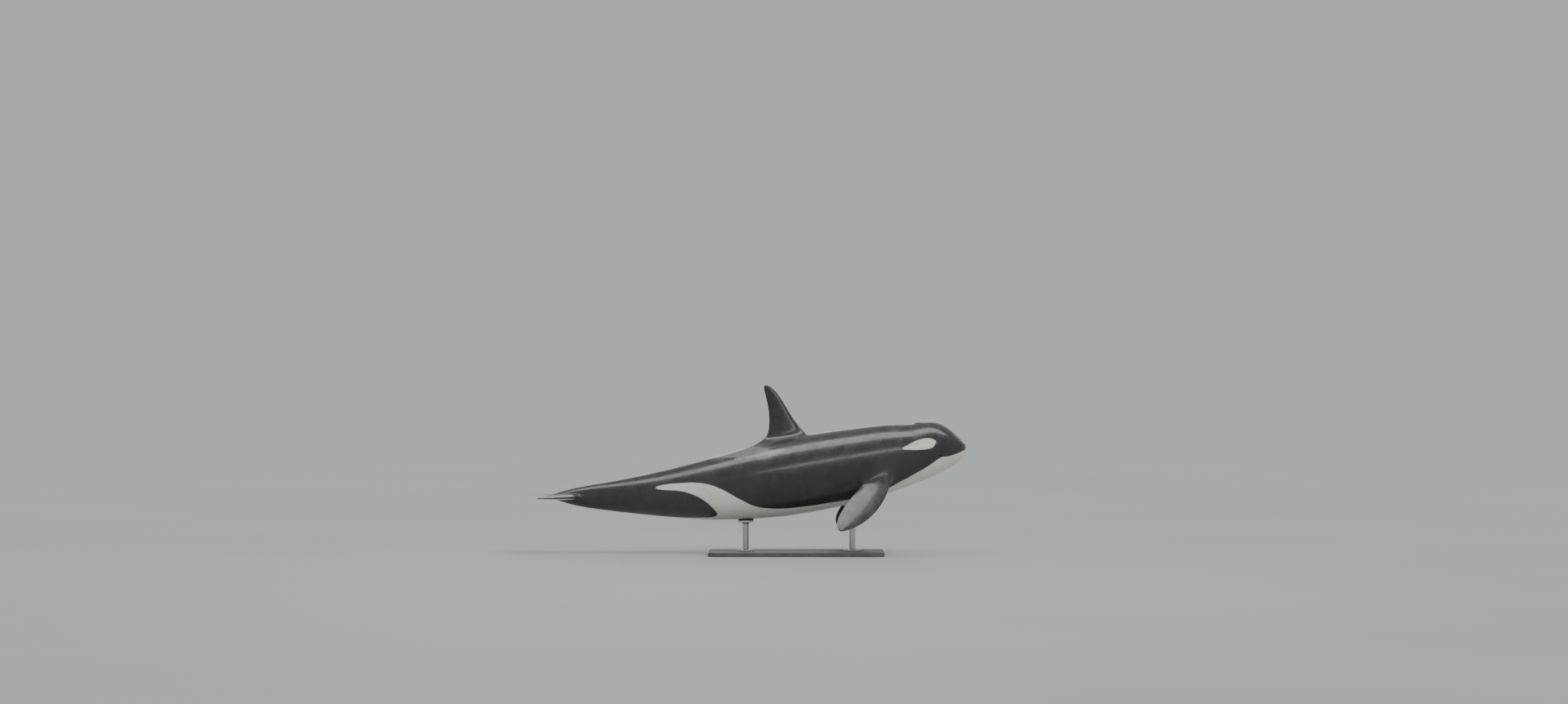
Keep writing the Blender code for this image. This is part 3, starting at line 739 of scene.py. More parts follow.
# Where the skin's fine forms lie
def mouth_distance(body):
    """Metres above the line of the mouth, and metres to that line, which ends at its corner."""
    corner = MOUTH[-1][0]
    above = body.height - smooth(MOUTH, np.minimum(body.place, corner)) * BODY_LENGTH
    beyond = np.maximum(body.place - corner, 0.0) * BODY_LENGTH
    return above, np.hypot(above, beyond)


def blowhole_distance(body):
    """Metres to the crescent slit on the crown."""
    ahead = (BLOWHOLE_STATION - BLOWHOLE_SHIFT - body.place) * BODY_LENGTH
    turn = np.arctan2(np.abs(body.side), -ahead)
    limit = math.radians(BLOWHOLE_SWEEP)
    spread = np.hypot(ahead, body.side)
    end_x = -BLOWHOLE_RADIUS * math.cos(limit)
    end_y = BLOWHOLE_RADIUS * math.sin(limit)
    to_end = np.hypot(ahead - end_x, np.abs(body.side) - end_y)
    near = np.where(turn < limit, np.abs(spread - BLOWHOLE_RADIUS), to_end)
    return np.where(body.height > 0, near, FAR)


def slit_distance(body, place, half_length, offset=0.0):
    """Metres to a lengthwise slit on the underside, offset metres to either side."""
    along = np.maximum(np.abs(body.place - place) * BODY_LENGTH - half_length, 0.0)
    near = np.hypot(along, body.from_belly - offset)
    return np.where(body.angle > 90, near, FAR)


class Eye:
    """Where one eye sits: its centre, its spot on the skin and the ways ahead, up and out there."""

    def __init__(self, side):
        low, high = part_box("eye_left" if side > 0 else "eye_right")
        self.side = side
        self.centre = (Vector(low) + Vector(high)) / 2
        self.out = outward(EYE_STATION, EYE_ANGLE * side)
        ahead = forward(spine(EYE_STATION)[1])
        self.ahead = (ahead - self.out * ahead.dot(self.out)).normalized()
        self.up = self.ahead.cross(self.out) * side
        self.spot = self.centre + self.out * (EYE_RADIUS - EYE_PROUD)

    def reach(self, points):
        """Metres ahead, up and out of the eye's spot."""
        away = points - np.array(self.spot)
        return (away @ np.array(axis) for axis in (self.ahead, self.up, self.out))


def eye_distance(points, eyes):
    return np.min([np.linalg.norm(points - np.array(eye.spot), axis=1) for eye in eyes], axis=0)


def split_faces(item, chosen, surface, cuts=1):
    """Splits the faces whose middles chosen() picks, and lays their corners on the smooth surface."""
    data = item.data
    middles = np.empty(len(data.polygons) * 3)
    data.polygons.foreach_get("center", middles)
    picked = chosen(middles.reshape(-1, 3))
    data.polygons.foreach_set("select", picked)
    data.edges.foreach_set("select", np.zeros(len(data.edges), bool))
    data.vertices.foreach_set("select", np.zeros(len(data.vertices), bool))
    edit(item, "FACE")
    bpy.ops.mesh.subdivide(number_cuts=cuts, smoothness=0.0)
    mesh = bmesh.from_edit_mesh(item.data)
    for vert in mesh.verts:
        if vert.select:
            vert.co = surface.find_nearest(vert.co)[0]
    bmesh.update_edit_mesh(item.data)
    leave()


def tree_of(item):
    """The search tree of a mesh."""
    return BVHTree.FromPolygons(
        [vert.co for vert in item.data.vertices],
        [face.vertices for face in item.data.polygons],
    )


def smooth_surface(item, levels):
    """The search tree of a finely smoothed copy of a mesh."""
    activate(item)
    bpy.ops.object.duplicate()
    twin = bpy.context.object
    apply_subdivision(twin, levels)
    tree = tree_of(twin)
    bpy.data.objects.remove(twin, do_unlink=True)
    return tree


def refine(item, eyes, surface):
    """Makes the skin's mesh finer towards the mouth, eyes, blowhole and slits."""

    def head(points):
        return Body(points).place < HEAD_END

    def near(mouth, eye, blowhole, slit):
        def chosen(points):
            body = Body(points)
            found = (mouth_distance(body)[1] < mouth) & (body.place < MOUTH_END)
            found |= eye_distance(points, eyes) < eye
            found |= blowhole_distance(body) < blowhole
            for place in (VENT_SLIT, NAVEL, ANUS):
                found |= slit_distance(body, *place) < slit
            found |= slit_distance(body, *MILK_SLITS) < slit * 0.5
            return found & (body.out < TRUNK_SKIN)

        return chosen

    def border(points):
        place = Body(points).place
        on_trunk = (place > BORDER_FRONT) & (place < BORDER_REAR)
        return (np.abs(markings(points)[0]) < BORDER_REACH) & on_trunk

    split_faces(item, head, surface)
    split_faces(item, border, surface)
    for *reaches, cuts in FINER:
        split_faces(item, near(*reaches), surface, cuts)


def carve_mouth(body, style):
    """Lips that swell beside a narrow crease, lower at the snout and behind the mouth's corner."""
    away = mouth_distance(body)[1]
    near = body.place < 0.1
    crease = bump(away, MOUTH_CREASE)
    at_corner = ramp(body.place, MOUTH[-1][0] - 0.006, MOUTH[-1][0] + 0.003)
    lips = bump(away - LIP_SPACING, LIP_WIDTH) * style.lip_height
    lips = lips * (0.45 + 0.55 * ramp(body.place, 0.004, 0.020)) * (1 - 0.6 * at_corner)
    # The second value is a painted shade along the mouth's crease
    return np.where(near, lips - crease * style.mouth_depth, 0.0), np.where(near, crease, 0.0)


def carve_blowhole(body, style):
    """A crescent slit with raised lips, on a low mound."""
    away = blowhole_distance(body)
    slit = bump(away, BLOWHOLE_SLIT) * style.blowhole_depth
    ridges = ridge(away, *BLOWHOLE_MOUND) + ridge(away, *BLOWHOLE_LIPS)
    # The second value is a painted shade in the slit
    return ridges - slit, bump(away, SLIT_SHADE_WIDTH)


def carve_underside(body):
    """The navel, the long slit with a short one at each side, and the small opening behind."""
    depth = 0.0
    dark = 0.0
    for slit, width, deep in UNDERSIDE:
        away = slit_distance(body, *slit)
        depth = depth + ridge(away, *SLIT_LIPS) - np.exp(-away / width) * deep
        # dark is a painted shade along the slits and openings
        dark = np.maximum(dark, bump(away, SLIT_SHADE_WIDTH))
    return depth, dark


def carve_eye(points, eye, style):
    """Lids round an almond opening, folds about them, and the socket that the eye fills."""
    ahead, up, out = eye.reach(points)
    near = np.hypot(np.hypot(ahead, up), out) < EYE_FORMS
    over = 0.5 + 0.5 * np.sin(np.arctan2(up, ahead))
    wide = np.abs(ahead / style.eye_opening) ** OPENING_POWER
    high = np.abs(up / (style.eye_opening * OPENING_HEIGHT)) ** OPENING_POWER
    stretch = (wide + high) ** (1 / OPENING_POWER)
    rim = ridge(stretch, *LID_RIM, style.lid_height) * (0.7 + 0.4 * over)
    crease = ridge(stretch, *LID_CREASE) * over ** 1.5
    hood = ridge(stretch, *BROW) * over ** 1.5
    pouch = ridge(stretch, *POUCH) * (1 - over)
    socket = ramp(1.0 - stretch, -0.04, 0.14) * SOCKET_DEPTH
    # dark is a painted shade in and just round the lids' opening
    dark = bump(np.maximum(stretch - 1.0, 0.0), 0.30)
    return np.where(near, rim - crease + hood + pouch - socket, 0.0), np.where(near, dark, 0.0)


def carve(item, eyes, style):
    """Moves the skin along its normals into its fine forms, and stores a painted shade for the mouth's
    crease, the slits and the eyes' openings.
    """
    points = points_of(item)
    normals = normals_of(item)
    body = Body(points)
    above = mouth_distance(body)[0]
    line = (np.abs(above) < MOUTH_SNAP) & (body.place < MOUTH[-1][0]) & (body.out < TRUNK_SKIN)
    points[line, 2] -= above[line]
    moved, dark = carve_mouth(body, style)
    for shift, shade in (
        carve_blowhole(body, style),
        carve_underside(body),
        *(carve_eye(points, eye, style) for eye in eyes),
    ):
        moved = moved + shift
        dark = np.maximum(dark, shade)
    trunk = body.out < CARVED_SKIN
    set_points(item, points + normals * np.where(trunk, moved, 0.0)[:, None])
    set_field(item, "fold_shade", np.where(trunk, dark, 0.0))


# Markings
def fluke_underside(points):
    """Metres inside the white of the flukes' underside, which keeps a dark margin."""
    front, pitch = spine(FLUKE_STATIONS[0])
    back = spine(FLUKE_STATIONS[-1])[0]
    levels = np.linspace(0.0, 1.0, 24)
    lead = [fluke_edge(front, FLUKE_LEAD, t, 1) for t in levels]
    trail = [fluke_edge(back, FLUKE_TRAIL, t, 1) for t in levels]
    loop = np.array([(p.x, p.y) for p in lead + trail[::-1]])
    inner = depth_inside(loop, points[:, 0], np.abs(points[:, 1]))
    over = (points - np.array(front)) @ np.array(upward(pitch))
    return np.minimum(inner - FLUKE_MARGIN, -over * 3 - 0.010)


def markings(points):
    """How far points lie inside the white and the grey markings, in metres."""
    body = Body(points)
    along = body.place * BODY_LENGTH
    scale = np.array((BODY_LENGTH, 1.0))
    patch = depth_inside(rounded_loop(EYE_PATCH) * BODY_LENGTH, along, body.height)
    patch = np.where(body.height < PATCH_LOWEST, -0.5, patch)
    belly = rounded_loop(BELLY_WHITE)
    belly[:, 1] = np.radians(belly[:, 1]) * trunk_radius(belly[:, 0])
    belly = depth_inside(belly * scale, along, body.from_belly)
    above = mouth_distance(body)[0]
    below = np.where(body.place < MOUTH[-1][0], np.minimum(belly, -above), belly)
    jaw = np.minimum(-above, (JAW_WHITE_END - body.place) * BODY_LENGTH)
    white = np.maximum(np.maximum(patch, below), jaw)
    white = np.minimum(white, (WHITE_REACH - body.out) * 0.8)
    tail = (body.place > FLUKE_PLACE) & (np.abs(points[:, 1]) > TAIL_HALF_WIDTH)
    white = np.where(tail, fluke_underside(points), white)
    saddle = depth_inside(rounded_loop(SADDLE) * scale, along, body.from_back)
    saddle = np.minimum(saddle, (SADDLE_REACH - body.out) * 1.5)
    return white, saddle


# Material helpers
def new_look(name):
    made = bpy.data.materials.new(name)
    made.use_nodes = True
    return made.node_tree, made.node_tree.nodes["Principled BSDF"], made


def opaque(colour):
    return (*colour, 1.0)


def put(tree, kind, inputs=None, **settings):
    """Adds a node; an input that is a socket is linked and any other one is set."""
    made = tree.nodes.new("ShaderNode" + kind)
    for key, value in settings.items():
        setattr(made, key, value)
    fill(tree, made, inputs or {})
    return made


def fill(tree, node, inputs):
    for key, value in inputs.items():
        if isinstance(value, bpy.types.NodeSocket):
            tree.links.new(value, node.inputs[key])
        else:
            node.inputs[key].default_value = value


def blend(tree, factor, first, second):
    return put(tree, "Mix", {0: factor, 6: first, 7: second}, data_type="RGBA").outputs[2]


def sum_of(tree, first, second, kind="ADD"):
    return put(tree, "Math", {0: first, 1: second}, operation=kind).outputs[0]


def span(tree, value, low, high, to_low=0.0, to_high=1.0, kind="SMOOTHSTEP"):
    inputs = {"Value": value, "From Min": low, "From Max": high, "To Min": to_low, "To Max": to_high}
    return put(tree, "MapRange", inputs, interpolation_type=kind).outputs[0]


def noise(tree, coords, scale, detail=3.0, roughness=0.5):
    inputs = {"Vector": coords, "Scale": scale, "Detail": detail, "Roughness": roughness}
    return put(tree, "TexNoise", inputs).outputs["Fac"]


def stretched(tree, coords, scale):
    return put(tree, "Mapping", {"Vector": coords, "Scale": scale}).outputs[0]


def field(tree, name):
    return put(tree, "Attribute", attribute_name=name).outputs["Fac"]


def vector(tree, kind, inputs, output=0):
    return put(tree, "VectorMath", inputs, operation=kind).outputs[output]


def bumps(tree, height, strength, distance, under=None):
    inputs = {"Height": height, "Strength": strength, "Distance": distance}
    if under is not None:
        inputs["Normal"] = under
    return put(tree, "Bump", inputs).outputs[0]


def rakes(tree, coords, cells, spacing, width, share):
    """Bundles of a few thin parallel lines, each bundle turned its own way: 1 on a line."""
    swirl = put(tree, "TexNoise", {"Vector": coords, "Scale": 2.4, "Detail": 2.0}).outputs["Color"]
    pull = vector(tree, "SCALE", {0: swirl, "Scale": 0.10})
    bent = vector(tree, "ADD", {0: coords, 1: pull})
    cell = put(tree, "TexVoronoi", {"Vector": bent, "Scale": cells}).outputs
    local = vector(tree, "SUBTRACT", {0: bent, 1: cell["Position"]})
    turn = vector(tree, "SUBTRACT", {0: cell["Color"], 1: (0.5, 0.5, 0.5)})
    out = put(tree, "NewGeometry").outputs["Normal"]
    turn = vector(tree, "CROSS_PRODUCT", {0: turn, 1: out})
    turn = vector(tree, "NORMALIZE", {0: turn})
    across = vector(tree, "DOT_PRODUCT", {0: local, 1: turn}, "Value")
    near = sum_of(tree, across, spacing / 2, "PINGPONG")
    lines = span(tree, near, 0.0, width, 1.0, 0.0)
    away = put(tree, "Math", {0: across}, operation="ABSOLUTE").outputs[0]
    lines = sum_of(tree, lines, span(tree, away, spacing * 1.6, spacing * 2.4, 1.0, 0.0), "MULTIPLY")
    lines = sum_of(tree, lines, span(tree, cell["Distance"], 0.18, 0.46, 1.0, 0.0), "MULTIPLY")
    lot = vector(tree, "DOT_PRODUCT", {0: cell["Color"], 1: (9.7, 5.3, 3.1)}, "Value")
    lot = put(tree, "Math", {0: lot}, operation="FRACT").outputs[0]
    worn = span(tree, noise(tree, coords, 22.0, 3.0), 0.30, 0.62)
    lines = sum_of(tree, lines, worn, "MULTIPLY")
    return sum_of(tree, lines, span(tree, lot, 1.0 - share, 1.0 - share * 0.8), "MULTIPLY")


def skin_look(style):
    """Smooth wet skin, black with white and grey markings."""
    tree, shader, made = new_look("orca_skin")
    coords = put(tree, "TexCoord").outputs["Object"]
    broad = noise(tree, coords, 1.3, 4.0)
    middle = noise(tree, coords, 7.0, 4.0, 0.6)
    fine = noise(tree, coords, 60.0, 3.0, 0.6)

    wobble = span(tree, noise(tree, coords, 4.0, 2.0), 0.2, 0.8, -0.007, 0.007, "LINEAR")
    white = span(tree, sum_of(tree, field(tree, "white"), wobble), -0.006, 0.007)
    streaks = noise(tree, stretched(tree, coords, (2.2, 9.0, 9.0)), 1.6, 4.0, 0.65)
    drift = span(tree, streaks, 0.25, 0.75, -0.085, 0.060, "LINEAR")
    saddle = span(tree, sum_of(tree, field(tree, "saddle"), drift), -0.050, 0.040)

    black = blend(tree, span(tree, broad, 0.35, 0.65), opaque(style.black), opaque(style.black_brown))
    black = blend(tree, span(tree, middle, 0.45, 0.75, 0.0, 0.35), black, (0.052, 0.051, 0.054, 1.0))
    drift = span(tree, broad, 0.40, 0.70, 0.0, 0.6)
    cream = blend(tree, drift, opaque(style.white), opaque(style.cream))
    stain = span(tree, noise(tree, coords, 3.6, 5.0, 0.6), 0.56, 0.74, 0.0, 0.40)
    cream = blend(tree, stain, cream, (0.46, 0.40, 0.29, 1.0))
    grey = blend(tree, span(tree, streaks, 0.35, 0.65), opaque(style.grey), (0.19, 0.185, 0.19, 1.0))

    rake = rakes(tree, coords, 1.9, 0.034, 0.0030, 0.30)
    nick = rakes(tree, coords, 4.3, 0.060, 0.0016, 0.22)
    lines = sum_of(tree, rake, nick, "MAXIMUM")
    black = blend(tree, sum_of(tree, lines, 0.34, "MULTIPLY"), black, (0.15, 0.145, 0.15, 1.0))

    colour = blend(tree, sum_of(tree, saddle, 0.92, "MULTIPLY"), black, grey)
    colour = blend(tree, white, colour, cream)
    # Painted shade, a brown-black, in the mouth's crease, the slits and round the eyes' openings
    crease_shade = sum_of(tree, field(tree, "fold_shade"), 0.82, "MULTIPLY")
    colour = blend(tree, crease_shade, colour, (0.030, 0.024, 0.023, 1.0))

    rough = span(tree, middle, 0.3, 0.7, style.wet_roughness, style.wet_roughness + 0.14, "LINEAR")
    film = noise(tree, stretched(tree, coords, (1.0, 1.0, 0.28)), 11.0, 3.0, 0.6)
    rough = sum_of(tree, rough, span(tree, film, 0.45, 0.70, 0.0, 0.10), "ADD")
    normal = bumps(tree, broad, 0.35, 0.020)
    normal = bumps(tree, middle, 0.30, 0.004, normal)
    normal = bumps(tree, fine, 0.25, 0.0008, normal)
    normal = bumps(tree, lines, 0.5, -0.0010, normal)
    values = {"Base Color": colour, "Roughness": rough, "Normal": normal, "Specular IOR Level": 0.45}
    fill(tree, shader, values)
    fill(tree, shader, {"Coat Weight": 0.45, "Coat Roughness": 0.07, "Coat IOR": 1.34})
    return made


def eye_look(style):
    """A dark moist eye: a deep brown iris round a wide pupil, and a dull rim."""
    tree, shader, made = new_look("orca_eye")
    coords = put(tree, "TexCoord").outputs["Object"]
    reach = field(tree, "from_pupil")
    spokes = noise(tree, coords, 900.0, 3.0, 0.7)
    iris = blend(tree, span(tree, spokes, 0.3, 0.7), (0.012, 0.006, 0.004, 1.0), opaque(style.iris))
    iris = blend(tree, span(tree, reach, 0.0086, 0.0104), iris, (0.010, 0.008, 0.008, 1.0))
    iris = blend(tree, span(tree, reach, 0.0050, 0.0042), iris, (0.002, 0.002, 0.002, 1.0))
    dark, brown = (0.022, 0.016, 0.015, 1.0), (0.045, 0.032, 0.030, 1.0)
    rim = blend(tree, span(tree, spokes, 0.4, 0.7), dark, brown)
    colour = blend(tree, span(tree, reach, 0.0112, 0.0135), iris, rim)
    rough = span(tree, spokes, 0.2, 0.8, 0.06, 0.14, "LINEAR")
    fill(tree, shader, {"Base Color": colour, "Roughness": rough})
    fill(tree, shader, {"Coat Weight": 1.0, "Coat Roughness": 0.02, "Coat IOR": 1.38})
    return made


def paint_look(style):
    """Matt charcoal paint over board, with a fine orange peel and slightly worn, dusty places."""
    tree, shader, made = new_look("base_paint")
    coords = put(tree, "TexCoord").outputs["Object"]
    peel = noise(tree, coords, 260.0, 2.0)
    patches = noise(tree, coords, 2.3, 5.0, 0.6)
    dust = span(tree, noise(tree, coords, 14.0, 6.0, 0.7), 0.50, 0.80, 0.0, 0.30)
    colour = blend(tree, span(tree, patches, 0.35, 0.65), opaque(style.paint), opaque(style.paint_light))
    colour = blend(tree, dust, colour, (0.20, 0.20, 0.195, 1.0))
    scuffs = rakes(tree, coords, 3.1, 0.050, 0.0014, 0.25)
    colour = blend(tree, sum_of(tree, scuffs, 0.25, "MULTIPLY"), colour, (0.22, 0.22, 0.22, 1.0))
    normal = bumps(tree, peel, 0.25, 0.0004)
    normal = bumps(tree, scuffs, 0.3, -0.0003, normal)
    rough = span(tree, patches, 0.3, 0.7, 0.46, 0.60, "LINEAR")
    fill(tree, shader, {"Base Color": colour, "Roughness": rough, "Normal": normal})
    return made


def steel_look(style, upright):
    """Brushed steel. The brushing runs round a rod, and straight across a flange."""
    tree, shader, made = new_look("stand_steel_rod" if upright else "stand_steel_flange")
    coords = put(tree, "TexCoord").outputs["Object"]
    scale = (3.0, 3.0, 420.0) if upright else (420.0, 6.0, 6.0)
    grain = noise(tree, stretched(tree, coords, scale), 1.0, 3.0, 0.6)
    smears = noise(tree, coords, 9.0, 4.0, 0.6)
    colour = blend(tree, span(tree, grain, 0.3, 0.7), opaque(style.steel), (0.62, 0.62, 0.63, 1.0))
    colour = blend(tree, span(tree, smears, 0.52, 0.75, 0.0, 0.35), colour, (0.36, 0.35, 0.34, 1.0))
    rough = span(tree, grain, 0.2, 0.8, 0.24, 0.38, "LINEAR")
    rough = sum_of(tree, rough, span(tree, smears, 0.5, 0.8, 0.0, 0.12), "ADD")
    normal = bumps(tree, grain, 0.20, 0.0003)
    values = {"Base Color": colour, "Metallic": 1.0, "Roughness": rough, "Normal": normal}
    fill(tree, shader, values)
    return made


def rubber_look():
    """Black rubber with a matt, finely grained face."""
    tree, shader, made = new_look("pad_rubber")
    coords = put(tree, "TexCoord").outputs["Object"]
    grain = noise(tree, coords, 420.0, 3.0, 0.6)
    bloom = noise(tree, coords, 24.0, 4.0)
    dark, grey = (0.018, 0.018, 0.018, 1.0), (0.040, 0.040, 0.041, 1.0)
    colour = blend(tree, span(tree, bloom, 0.4, 0.7), dark, grey)
    rough = span(tree, grain, 0.2, 0.8, 0.62, 0.80, "LINEAR")
    normal = bumps(tree, grain, 0.35, 0.0005)
    fill(tree, shader, {"Base Color": colour, "Roughness": rough, "Normal": normal})
    return made


def floor_look(style):
    """A plain pale studio floor, which melts into the backdrop's tone far away."""
    tree, shader, made = new_look("studio_floor")
    coords = put(tree, "TexCoord").outputs["Object"]
    tone = noise(tree, coords, 0.15, 3.0)
    shade = opaque(part * 0.97 for part in style.floor)
    colour = blend(tree, span(tree, tone, 0.3, 0.7), opaque(style.floor), shade)
    fill(tree, shader, {"Base Color": colour, "Roughness": 0.75, "Specular IOR Level": 0.25})
    away = vector(tree, "LENGTH", {0: coords}, "Value")
    glow = put(tree, "Emission", {"Color": opaque(style.horizon), "Strength": 1.0})
    inputs = {0: span(tree, away, 14.0, 90.0), 1: shader.outputs[0], 2: glow.outputs[0]}
    both = put(tree, "MixShader", inputs)
    tree.links.new(both.outputs[0], tree.nodes["Material Output"].inputs["Surface"])
    return made


# Eyes
def make_eye(eye, look):
    """A ball with a slightly domed front, in place of the plain one."""
    deselect()
    bpy.ops.mesh.primitive_uv_sphere_add(
        segments=64, ring_count=40, radius=EYE_RADIUS, location=eye.centre
    )
    label = "left" if eye.side > 0 else "right"
    item = name_new("eyeball_" + label)
    points = points_of(item)
    away = points - np.array(eye.centre)
    out = np.array(eye.out)
    along = away @ out
    across = np.linalg.norm(away - along[:, None] * out, axis=1)
    dome = ridge(across, 0.0, *EYE_DOME) * (along > 0)
    set_points(item, points + out * dome[:, None])
    wide = (away @ np.array(eye.ahead)) * PUPIL_LENGTHENING
    high = away @ np.array(eye.up)
    reach = np.where(along > 0, np.hypot(wide, high), EYE_RADIUS)
    set_field(item, "from_pupil", reach)
    finish_piece(item, look, ("eye_" + label,))


# Stand
def turned(name, profile, centre, sides=64):
    """A piece turned round an upright line: profile gives radius and height, from bottom to top."""
    deselect()
    radius, height = profile[0]
    bpy.ops.mesh.primitive_circle_add(vertices=sides, radius=radius, location=(*centre, height))
    item = name_new(name)
    edit(item, "EDGE")
    bpy.ops.mesh.select_all(action="SELECT")
    for (radius, height), (before, under) in zip(profile[1:], profile):
        bpy.ops.mesh.extrude_region_move(TRANSFORM_OT_translate={"value": (0, 0, height - under)})
        grow = radius / before
        bpy.ops.transform.resize(value=(grow, grow, 1), center_override=(*centre, height))
    leave()
    return item


def close_rims(item):
    """Fills the open rims of a turned piece."""
    mesh = edit(item, "EDGE")
    bpy.ops.mesh.select_all(action="DESELECT")
    rims = [edge for edge in mesh.edges if edge.is_boundary]
    for edge in rims:
        edge.select_set(True)
    bmesh.update_edit_mesh(item.data)
    bpy.ops.mesh.edge_face_add()
    bpy.ops.mesh.select_all(action="SELECT")
    bpy.ops.mesh.normals_make_consistent(inside=False)
    leave()


def rounded_profile(radius, bottom, top, edge):
    """The profile of a disc with rounded rims."""
    steps = [math.radians(90 * k / 4) for k in range(5)]
    low = [(radius - edge + edge * math.sin(a), bottom + edge - edge * math.cos(a)) for a in steps]
    high = [(radius - edge + edge * math.cos(a), top - edge + edge * math.sin(a)) for a in steps]
    return low + high


def rest_under(item, skin_tree, level, clearance):
    """Lays the points above a level on the underside of the skin, just clear of it."""
    points = points_of(item)
    for k in np.flatnonzero(points[:, 2] > level):
        spot = skin_tree.ray_cast(Vector((points[k, 0], points[k, 1], 0.1)), Vector((0, 0, 1)))[0]
        points[k, 2] = spot.z - clearance
    set_points(item, points)


def make_screw(name, place, height, look):
    """A cap screw: a plain round head with a round sunk socket."""
    deselect()
    middle = (*place, height + SCREW_HEIGHT / 2)
    bpy.ops.mesh.primitive_cylinder_add(
        vertices=24, radius=SCREW_RADIUS, depth=SCREW_HEIGHT, location=middle
    )
    item = name_new(name)
    mesh = edit(item, "FACE")
    bpy.ops.mesh.select_all(action="DESELECT")
    for face in mesh.faces:
        face.select_set(face.normal.z > 0.9)
    bmesh.update_edit_mesh(item.data)
    bpy.ops.mesh.inset(thickness=0.0012, depth=0.0008)
    bpy.ops.mesh.inset(thickness=0.0030)
    bpy.ops.mesh.extrude_region_move(TRANSFORM_OT_translate={"value": (0, 0, -0.004)})
    leave()
    finish_piece(item, look, smooth_by=35)


def make_support(label, skin_tree, looks):
    """One rod with its flange, screws, cup and rubber pad."""
    rod_low, rod_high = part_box("stand_rod_" + label)
    flange_low, flange_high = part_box("stand_flange_" + label)
    centre = tuple((flange_low.xy + flange_high.xy) / 2)
    belly = skin_tree.ray_cast(Vector((*centre, 0.1)), Vector((0, 0, 1)))[0].z
    pad_radius = (rod_high.x - rod_low.x) / 2
    cup_bottom = belly - CUP_DEPTH
    steel, flat_steel, rubber = looks

    stem = [(ROD_RADIUS, rod_low.z)]
    stem += [(ROD_RADIUS + wider, cup_bottom - lower) for wider, lower in FLARE]
    cup = rounded_profile(pad_radius - 0.001, cup_bottom, belly - 0.016, RIM_ROUND)
    rod = turned("rod_" + label, stem + cup, centre, 96)
    close_rims(rod)
    finish_piece(rod, steel, ("stand_rod_" + label,), smooth_by=35)

    rings = [(pad_radius - 0.006, belly - PAD_FOOT)]
    rings += [((pad_radius - 0.005) * part, belly) for part in PAD_RINGS]
    pad = turned("pad_" + label, rings, centre, 64)
    close_rims(pad)
    rest_under(pad, skin_tree, belly - 0.01, PAD_CLEARANCE)
    finish_piece(pad, rubber, smooth_by=40)

    top = flange_high.z
    radius = (flange_high.x - flange_low.x) / 2
    plate = rounded_profile(radius, flange_low.z, top, RIM_ROUND)
    collar = [(ROD_RADIUS + wider, top + higher) for wider, higher in COLLAR]
    flange = turned("flange_" + label, plate + collar, centre, 96)
    close_rims(flange)
    finish_piece(flange, flat_steel, ("stand_flange_" + label,), smooth_by=35)
    reach = radius * SCREW_CIRCLE
    for k in range(SCREWS):
        turn = math.tau * (k + 0.5) / SCREWS
        spot = (centre[0] + reach * math.cos(turn), centre[1] + reach * math.sin(turn))
        make_screw(f"screw_{label}_{k + 1}", spot, top, flat_steel)


# Studio
def add_light(kind, name, place, target, power, colour=(1.0, 1.0, 1.0)):
    deselect()
    bpy.ops.object.light_add(type=kind, location=place)
    lamp = bpy.context.object
    lamp.name = name
    lamp.data.energy = power
    lamp.data.color = colour
    lamp.visible_camera = False
    lamp.rotation_euler = (Vector(target) - Vector(place)).to_track_quat("-Z", "Y").to_euler()
    return lamp


def add_softbox(name, place, target, size, power):
    """A large soft light that shows in the wet skin and leaves the floor alone."""
    lamp = add_light("AREA", name, place, target, power)
    lamp.data.shape = "ELLIPSE"
    lamp.data.size, lamp.data.size_y = size
    lamp.visible_diffuse = False


def add_sun(name, place, power, spread, colour):
    """A soft light from far away, the same over the whole floor."""
    lamp = add_light("SUN", name, place, (0.0, 0.0, 1.0), power, colour)
    lamp.data.angle = math.radians(spread)
    lamp.visible_glossy = False


def add_world(style):
    """An even pale room. What the camera sees of it has the tone of the lit floor."""
    world = bpy.data.worlds.new("studio")
    bpy.context.scene.world = world
    world.use_nodes = True
    tree = world.node_tree
    light = tree.nodes["Background"]
    light.inputs["Color"].default_value = opaque(style.room)
    light.inputs["Strength"].default_value = style.room_strength
    seen = put(tree, "Background", {"Color": opaque(style.horizon), "Strength": 1.0})
    rays = put(tree, "LightPath")
    inputs = {0: rays.outputs["Is Camera Ray"], 1: light.outputs[0], 2: seen.outputs[0]}
    both = put(tree, "MixShader", inputs)
    tree.links.new(both.outputs[0], tree.nodes["World Output"].inputs["Surface"])


def add_camera():
    deselect()
    bpy.ops.object.camera_add(location=CAMERA_PLACE, rotation=(math.radians(90), 0, 0))
    camera = bpy.context.object
    camera.name = "photo_camera"
    camera.data.sensor_width = SENSOR
    camera.data.lens = SENSOR * -CAMERA_PLACE[1] / PHOTO_WIDTH_AT_MODEL
    camera.data.clip_end = 900.0
    bpy.context.scene.camera = camera


def add_floor(look):
    deselect()
    bpy.ops.mesh.primitive_circle_add(vertices=96, radius=400.0, fill_type="NGON", location=(0, 0, 0))
    floor = name_new("studio_floor")
    floor.data.materials.append(look)


# Settings
def colour_setting(name, description, default):
    return bpy.props.FloatVectorProperty(
        name=name, description=description, default=default, size=3, min=0.0, max=1.0, subtype="COLOR"
    )


def length_setting(name, description, default):
    return bpy.props.FloatProperty(
        name=name, description=description, default=default, min=0.0, unit="LENGTH", subtype="DISTANCE"
    )


